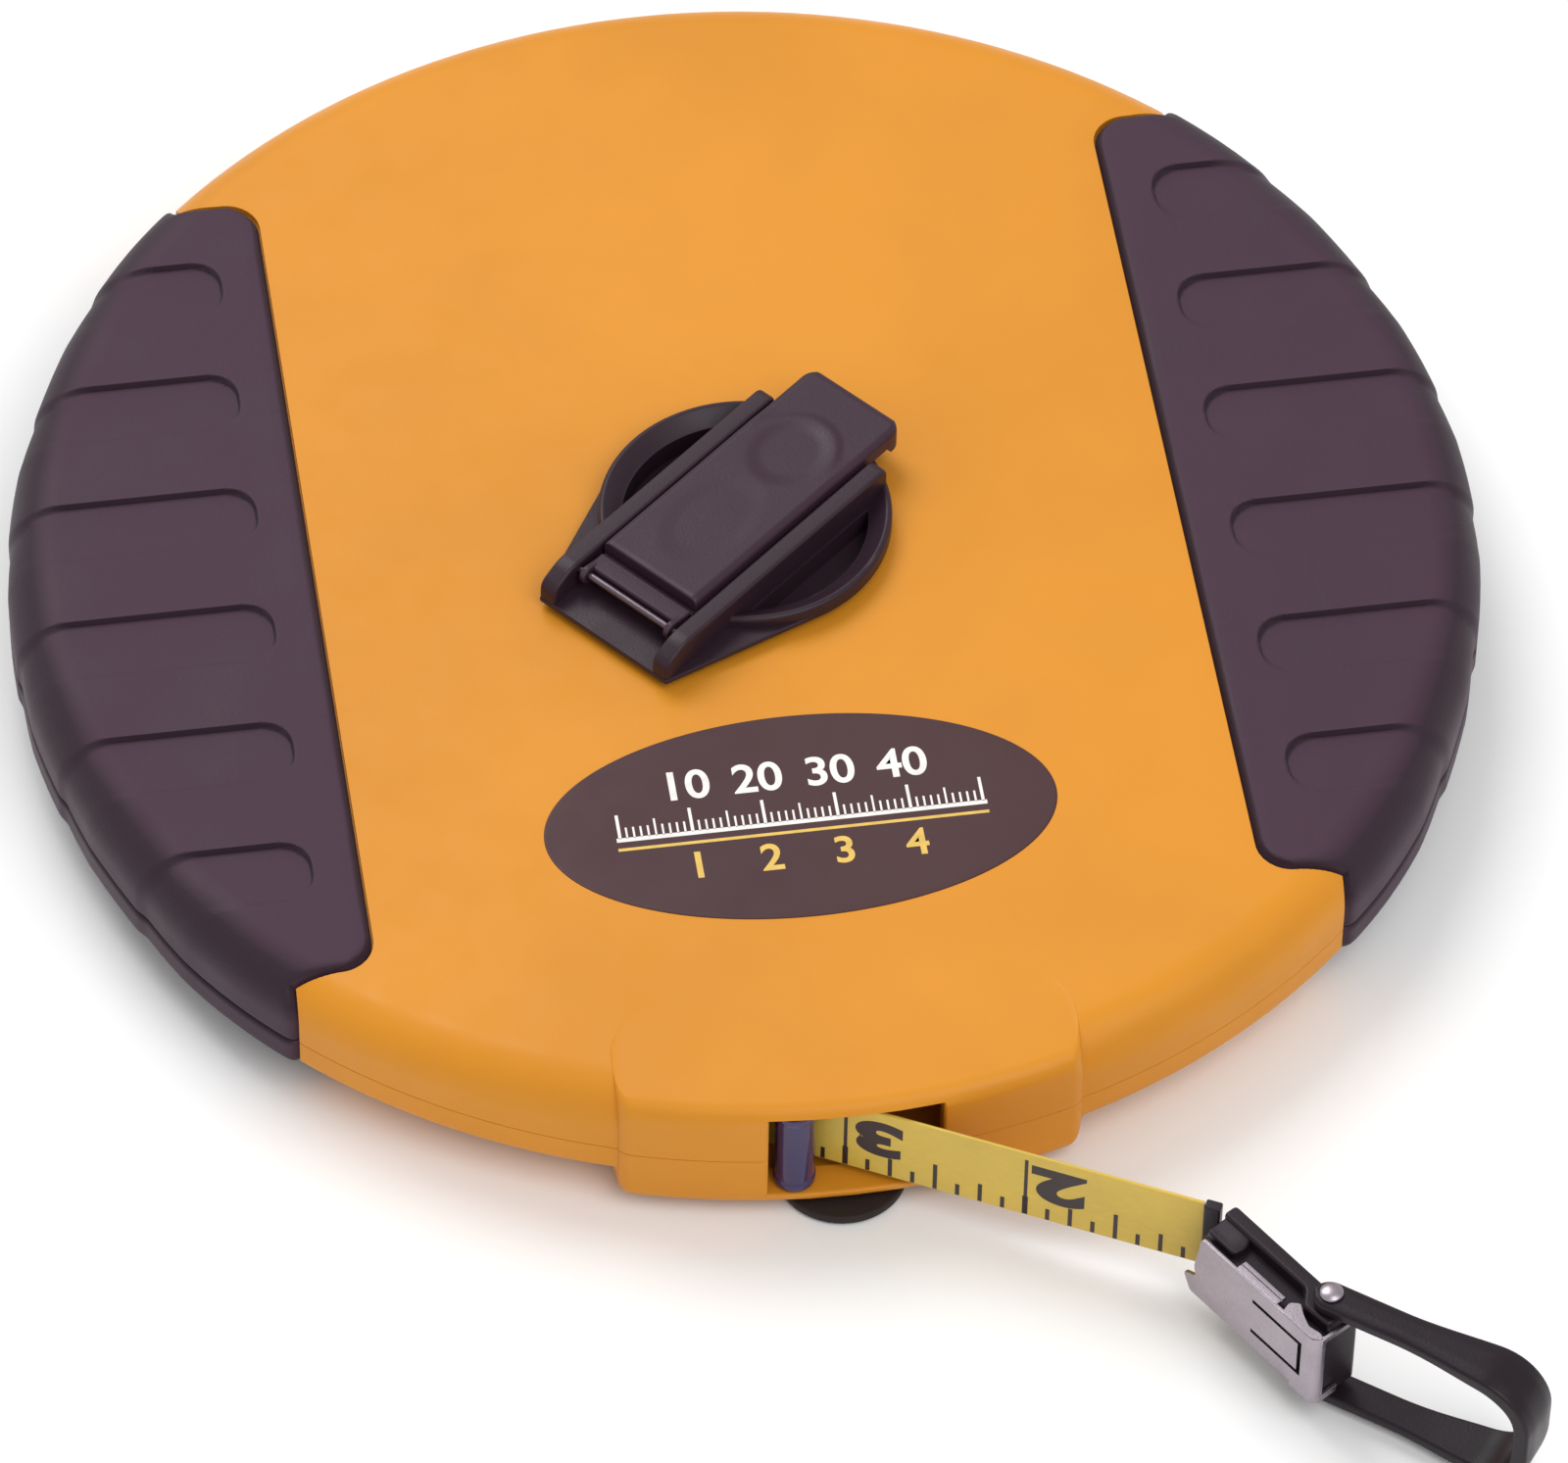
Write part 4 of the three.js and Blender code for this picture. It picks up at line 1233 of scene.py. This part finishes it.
def make_knob():
    """The finger knob, and the rivet that it turns on."""
    bottom, top = span("crank_knob")
    rim = KNOB_RADIUS
    knob = [(1.8, bottom + 1.6), (3.3, bottom + 1.6), (3.3, bottom), (4.6, bottom), (rim, bottom + 1.2)]
    knob += [(4.6, bottom + 3.2), (4.7, top - 1.2), (rim, top - 0.6), (rim, top), (1.8, top)]
    handle = lathe("crank_knob_plastic", rounded(knob, 0.5, 4), 96, (KNOB_U, 0), ring=True)
    place_piece(handle, "knob", "crank_plastic", CRANK_BLACK, "crank_knob", at=CRANK_FRAME)
    rivet = [(0, bottom), (2.2, bottom + 0.1), (3, bottom + 0.6), (3, bottom + 1.3)]
    rivet += [(1.5, bottom + 1.3), (1.5, 28.4), (0, 28.4)]
    stud = lathe("knob_pin_steel", rounded(rivet, 0.3, 3, False), 48, (KNOB_U, 0))
    place_piece(stud, "arm", "steel", STEEL, "knob_pin", at=CRANK_FRAME)


def make_crank_screw():
    """The screw that holds the crank to the reel, and its washer."""
    ring_low = low("crank_washer").z
    bottom = ring_low + 0.8
    head = [(0, 12), (1.5, 12.5), (1.5, bottom), (2.9, bottom), (2.9, bottom + 1.4)]
    head += [(1.8, bottom + 2), (0, bottom + 2)]
    screw = lathe("crank_screw_steel", rounded(head, 0.3, 3, False), 48)
    cut(screw, cross_tool(1.8, 0.35, bottom + 0.7, bottom + 3))
    place_piece(screw, "winder", "steel", STEEL, "crank_screw", at=CRANK_FRAME)
    washer = flat_ring("crank_washer_steel", 1.8, 3.4, ring_low, ring_low + 0.5, 0.12, 48, 2)
    place_piece(washer, "winder", "steel", STEEL, "crank_washer")


# ---- Reel ----


def make_reel():
    """The flanges and the wound tape; the hidden inner pieces keep the CAD's shape."""
    for word in ("front", "rear"):
        node = f"reel_flange_{word}"
        flange = flat_ring(f"{node}_disc", REEL_CORE, FLANGE_RADIUS, *span(node), 0.15, 160)
        place_piece(flange, "winder", "inner_plastic", INNER, node)
    radii = steps(REEL_CORE, COIL_RADIUS, COIL_RIBS)
    coil = [(r, TAPE_HIGH - (0.12 if k % 2 else 0)) for k, r in enumerate(radii)]
    coil += [(r, TAPE_LOW) for r in (COIL_RADIUS, 70, 45, REEL_CORE)]
    place_piece(lathe("tape_coil_turns", coil, 160, ring=True), "winder", "tape", TAPE_COAT, "tape_coil")
    inner = {"reel_drum": INNER, "tape_anchor_pin": STEEL, "drum_bushing": BRASS, "thrust_washer": STEEL}
    for node, look in inner.items():
        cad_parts[node].data.materials.clear()
        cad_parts[node].data.materials.append(look)


# ---- Tape ----


def on_tape(obj, face):
    """Moves a flat print, drawn as (along, thickness, up), on to one face of the tape."""
    obj.data.transform(Matrix.Translation((0, face * TAPE_THICKNESS / 2, 0)))


def tape_strip():
    half = TAPE_THICKNESS / 2
    section = rounded(rectangle((-half, half), (TAPE_LOW, TAPE_HIGH)), 0.16, 3)
    rows = [[(s, y, z) for y, z in section] for s in steps(TAPE_START, TAPE_END, 40)]
    return tube("tape_lead_strip", rows)


def tape_tick(s, start, end, width, face):
    tick = block("tick", (s - width / 2, s + width / 2), (-INK, INK), (start, end))
    on_tape(tick, face)
    return tick


def tape_number(words, s, z, size, face):
    """A stretched numeral that reads from its own side of the tape."""
    number = text_mesh("number", words, size, 2 * INK, 0.052)
    turn = Matrix.Rotation(math.radians(90), 4, "X") @ Matrix.Scale(NUMERAL_STRETCH, 4, (1, 0, 0))
    over = Matrix.Rotation(math.pi, 4, "Z" if face > 0 else "Y")
    number.data.transform(Matrix.Translation((s, 0, z)) @ over @ turn)
    on_tape(number, face)
    return number


def inch_scale():
    """Inches on the face towards -Y, numbered from the hook: eighths along the lower edge."""
    near = -1
    parts = []
    first = math.ceil((TAPE_START + 2 - TWO_INCH_LINE) / (INCH / 8))
    last = math.floor((TAPE_END - 0.5 - TWO_INCH_LINE) / (INCH / 8))
    for k in range(first, last + 1):
        s = TWO_INCH_LINE + k * INCH / 8
        if k % 8 == 0:
            parts.append(tape_tick(s, TAPE_LOW + 0.2, TAPE_HIGH - 1.2, 0.5, near))
            parts.append(tape_tick(s, TAPE_LOW + 0.21, TAPE_LOW + 4, 0.8, near))
            continue
        reach = 5.4 if k % 4 == 0 else 3.9 if k % 2 == 0 else 2.5
        parts.append(tape_tick(s, TAPE_LOW + 0.2, TAPE_LOW + reach, 0.6, near))
    for inches in range(2, 6):
        s = TWO_INCH_LINE - (inches - 2) * INCH + 4.6
        if s > TAPE_START + 4:
            parts.append(tape_number(str(inches), s, TAPE_HIGH - 5.1, 9, near))
    return parts


def metre_scale():
    """Centimetres and fives of millimetres on the other face."""
    far = 1
    parts = []
    first = math.ceil((TAPE_START + 2 - TWO_INCH_LINE) / 5)
    for k in range(first, 5):
        s = TWO_INCH_LINE + k * 5
        reach = 6 if k % 2 == 0 else 3.5
        parts.append(tape_tick(s, TAPE_HIGH - reach, TAPE_HIGH - 0.2, 0.4, far))
    for k in range(7):
        s = TWO_INCH_LINE + 20 - 10 * k
        parts.append(tape_number(str(k + 3), s, TAPE_LOW + 4, 6, far))
    return parts


def make_tape():
    place_piece(tape_strip(), "tape", "tape", TAPE_COAT, "tape_lead", at=TAPE_FRAME)
    marks = merge("tape_marks", inch_scale() + metre_scale())
    place_piece(marks, "tape", "tape", TAPE_INK, at=TAPE_FRAME)
    ends = (TAPE_END + 0.1, TAPE_END + 2.4)
    tab = block("tape_end_tab_vinyl", ends, (-0.8, 0.8), (TAPE_LOW, TAPE_HIGH), 0.3)
    place_piece(tab, "tape", "hook_black", HOOK_BLACK, "tape_end_tab", at=TAPE_FRAME)


# ---- Hook ----


def make_hook_body():
    near = -4.6
    far = 1.6
    front = 2.9
    plan = [(-20.5, near + 0.6), (-20.5, far), (-5, far), (-3.5, far + 1)]
    plan += [(front, far + 1), (front, near), (-18, near)]
    body = prism("hook_body_plastic", rounded(plan, 0.8, 4), 4.6, 17.4, 0.4)
    spine = [(-20.3, -0.7), (-20.3, far - 0.02), (-1, far - 0.02), (2.4, 0.9)]
    spine += [(2.4, -2.6), (-2.2, -2.9), (-4.2, -0.7)]
    shoulder = [(-20.0, near + 0.7), (-20.0, 0), (-15.2, 0), (-14.4, -2), (-14.8, near + 0.7)]
    join(body, prism("spine", rounded(spine, 0.7, 4), 5.0, 19.5, 0.5))
    join(body, prism("shoulder", rounded(shoulder, 0.7, 4), 5.1, 18.8, 0.4))
    cut(body, pin("hole", HOOK_BORE, 0, 25))
    place_piece(body, "tape", "hook_black", HOOK_BLACK, "hook_body", at=HOOK_FRAME)


def clip_plate():
    """The flat of the clip, with the U-shaped slot that frees a springy tongue."""
    outline = [(-20.9, 6.2), (1.6, 6.2), (1.6, 18.8), (-19.3, 18.8)]
    outline += [(-20.4, 12), (-20.0, 10.2), (-22.3, 9)]
    plate = prism("hook_clip_steel", rounded(outline, 0.5, 3), -5.5, -4.9, 0.14, axis="y")
    slots = (((-9, 0.6), (9.1, 9.8)), ((-9, 0.6), (15.4, 16.1)), ((-0.1, 0.61), (9.11, 16.09)))
    return cut(plate, *[block("slot", x, (-6, -4.5), z) for x, z in slots])


def bent_strip(name, path, thickness, bottom, top):
    """A strip that stands upright and follows a path in plan."""
    rows = []
    for i, point in enumerate(path):
        here = Vector(point)
        ahead = Vector(path[min(i + 1, len(path) - 1)]) - Vector(path[max(i - 1, 0)])
        side = Vector((-ahead.y, ahead.x)).normalized() * thickness / 2
        a = here + side
        b = here - side
        rows.append([(a.x, a.y, bottom), (b.x, b.y, bottom), (b.x, b.y, top), (a.x, a.y, top)])
    return tube(name, rows)


def make_hook_clip():
    clip = clip_plate()
    corner = arc((2.3, -4.3), 0.9, -90, 0, 8)
    lip = bent_strip("lip", [(0.9, -5.2)] + corner + [(3.2, -3.9)], 0.6, 6.2, 18.8)
    flange = block("flange", (-12.8, -4.9), (-5.35, -3.4), (18.3, 18.9), 0.15)
    cut(flange, block("crease", (-13, -4.8), (-4.35, -4.1), (18.72, 20)))
    ear = [(-3.4, -5.45), (2.4, -5.45), (3.4, -4.4), (2.6, -3.9)]
    ear += [(0.6, -4.3), (-1.2, -3.6), (-2.9, -2.6), (-4.0, -3.7)]
    branch = block("branch", (3.0, 3.55), (-4.6, 0.6), (17.9, 18.8), 0.12)
    foot = [(-1.5, -5.5), (2.6, -5.5), (3.55, -4.6), (3.55, -1.2)]
    foot += [(3.0, -1.2), (3.0, -4.4), (2.4, -4.75), (-1.5, -4.75)]
    join(clip, lip, flange, prism("ear", rounded(ear, 0.4, 3), 18.35, 19.0, 0.12), branch)
    join(clip, prism("foot", rounded(foot, 0.3, 3), 5.3, 6.5, 0.2))
    place_piece(clip, "tape", "clip_steel", CLIP_STEEL, "hook_clip", at=HOOK_FRAME)


def make_hook_pin():
    """A rivet with the same head at both ends."""
    bottom, top = span("hook_pin")
    head = 1.6
    dome = [(0, 0), (0.9, 0.12), (head, 0.45), (head, 0.8), (1.15, 0.85)]
    outline = [(r, bottom + z) for r, z in dome] + [(r, top - z) for r, z in reversed(dome)]
    pin = lathe("hook_pin_steel", rounded(outline, 0.25, 3, False), 48)
    place_piece(pin, "tape", "clip_steel", CLIP_STEEL, "hook_pin", at=HOOK_FRAME)


def loop_path():
    """The loop's centre line, as (x, z, half width), from the lower arm's end round to the upper one's."""
    inset = LOOP_STRIP / 2
    floor = LOOP_LOW + inset
    bend = LOOP_BEND - inset
    far = LOOP_LENGTH - LOOP_BEND
    narrow = 2.35
    wide = 3.75
    arm = []
    for a in steps(6, 90, 8):
        turn = math.radians(a)
        arm.append((-narrow * math.cos(turn), floor, max(0.25, narrow * math.sin(turn))))
    for x in steps(2, far, 12):
        arm.append((x, floor, narrow + (wide - narrow) * smooth(10, 28, x)))
    for x, z in arc((far, floor + bend), bend, -90, 0, 12)[1:]:
        arm.append((x, z, narrow + (wide - narrow) * smooth(10, 28, x)))
    middle = LOOP_LOW + LOOP_HIGH
    return arm + [(x, middle - z, half) for x, z, half in reversed(arm)]


def loop_section(half, x):
    """The strip's cross-section: flat inside and slightly crowned outside, thicker at the closed end."""
    inner = -LOOP_STRIP / 2 - 0.5 * smooth(14, 28, x)
    outer = LOOP_STRIP / 2
    outline = [(-half, inner), (half, inner), (half, outer - 0.3)]
    outline += [(half * 0.5, outer), (-half * 0.5, outer), (-half, outer - 0.3)]
    return rounded(outline, min(0.5, half * 0.6), 4)


def make_hook_loop():
    path = loop_path()
    rows = []
    for i, (x, z, half) in enumerate(path):
        before = path[max(i - 1, 0)]
        after = path[min(i + 1, len(path) - 1)]
        out = Vector((after[1] - before[1], before[0] - after[0])).normalized()
        section = loop_section(half, x)
        rows.append([(x + out.x * lift, across, z + out.y * lift) for across, lift in section])
    loop = tube("hook_loop_plastic", rows)
    cut(loop, pin("hole", HOOK_BORE, 0, 25))
    place_piece(loop, "loop", "hook_black", HOOK_BLACK, "hook_loop", at=LOOP_FRAME)


# ---- The whole ----

make_camera()
make_stage()
make_front_cover()
make_rear_cover()
make_grips()
make_label()
make_roller()
make_bumper()
make_case_screws()
make_crank_base()
make_crank_arm()
make_hinge_pin()
make_knob()
make_crank_screw()
make_reel()
make_tape()
make_hook_body()
make_hook_clip()
make_hook_pin()
make_hook_loop()
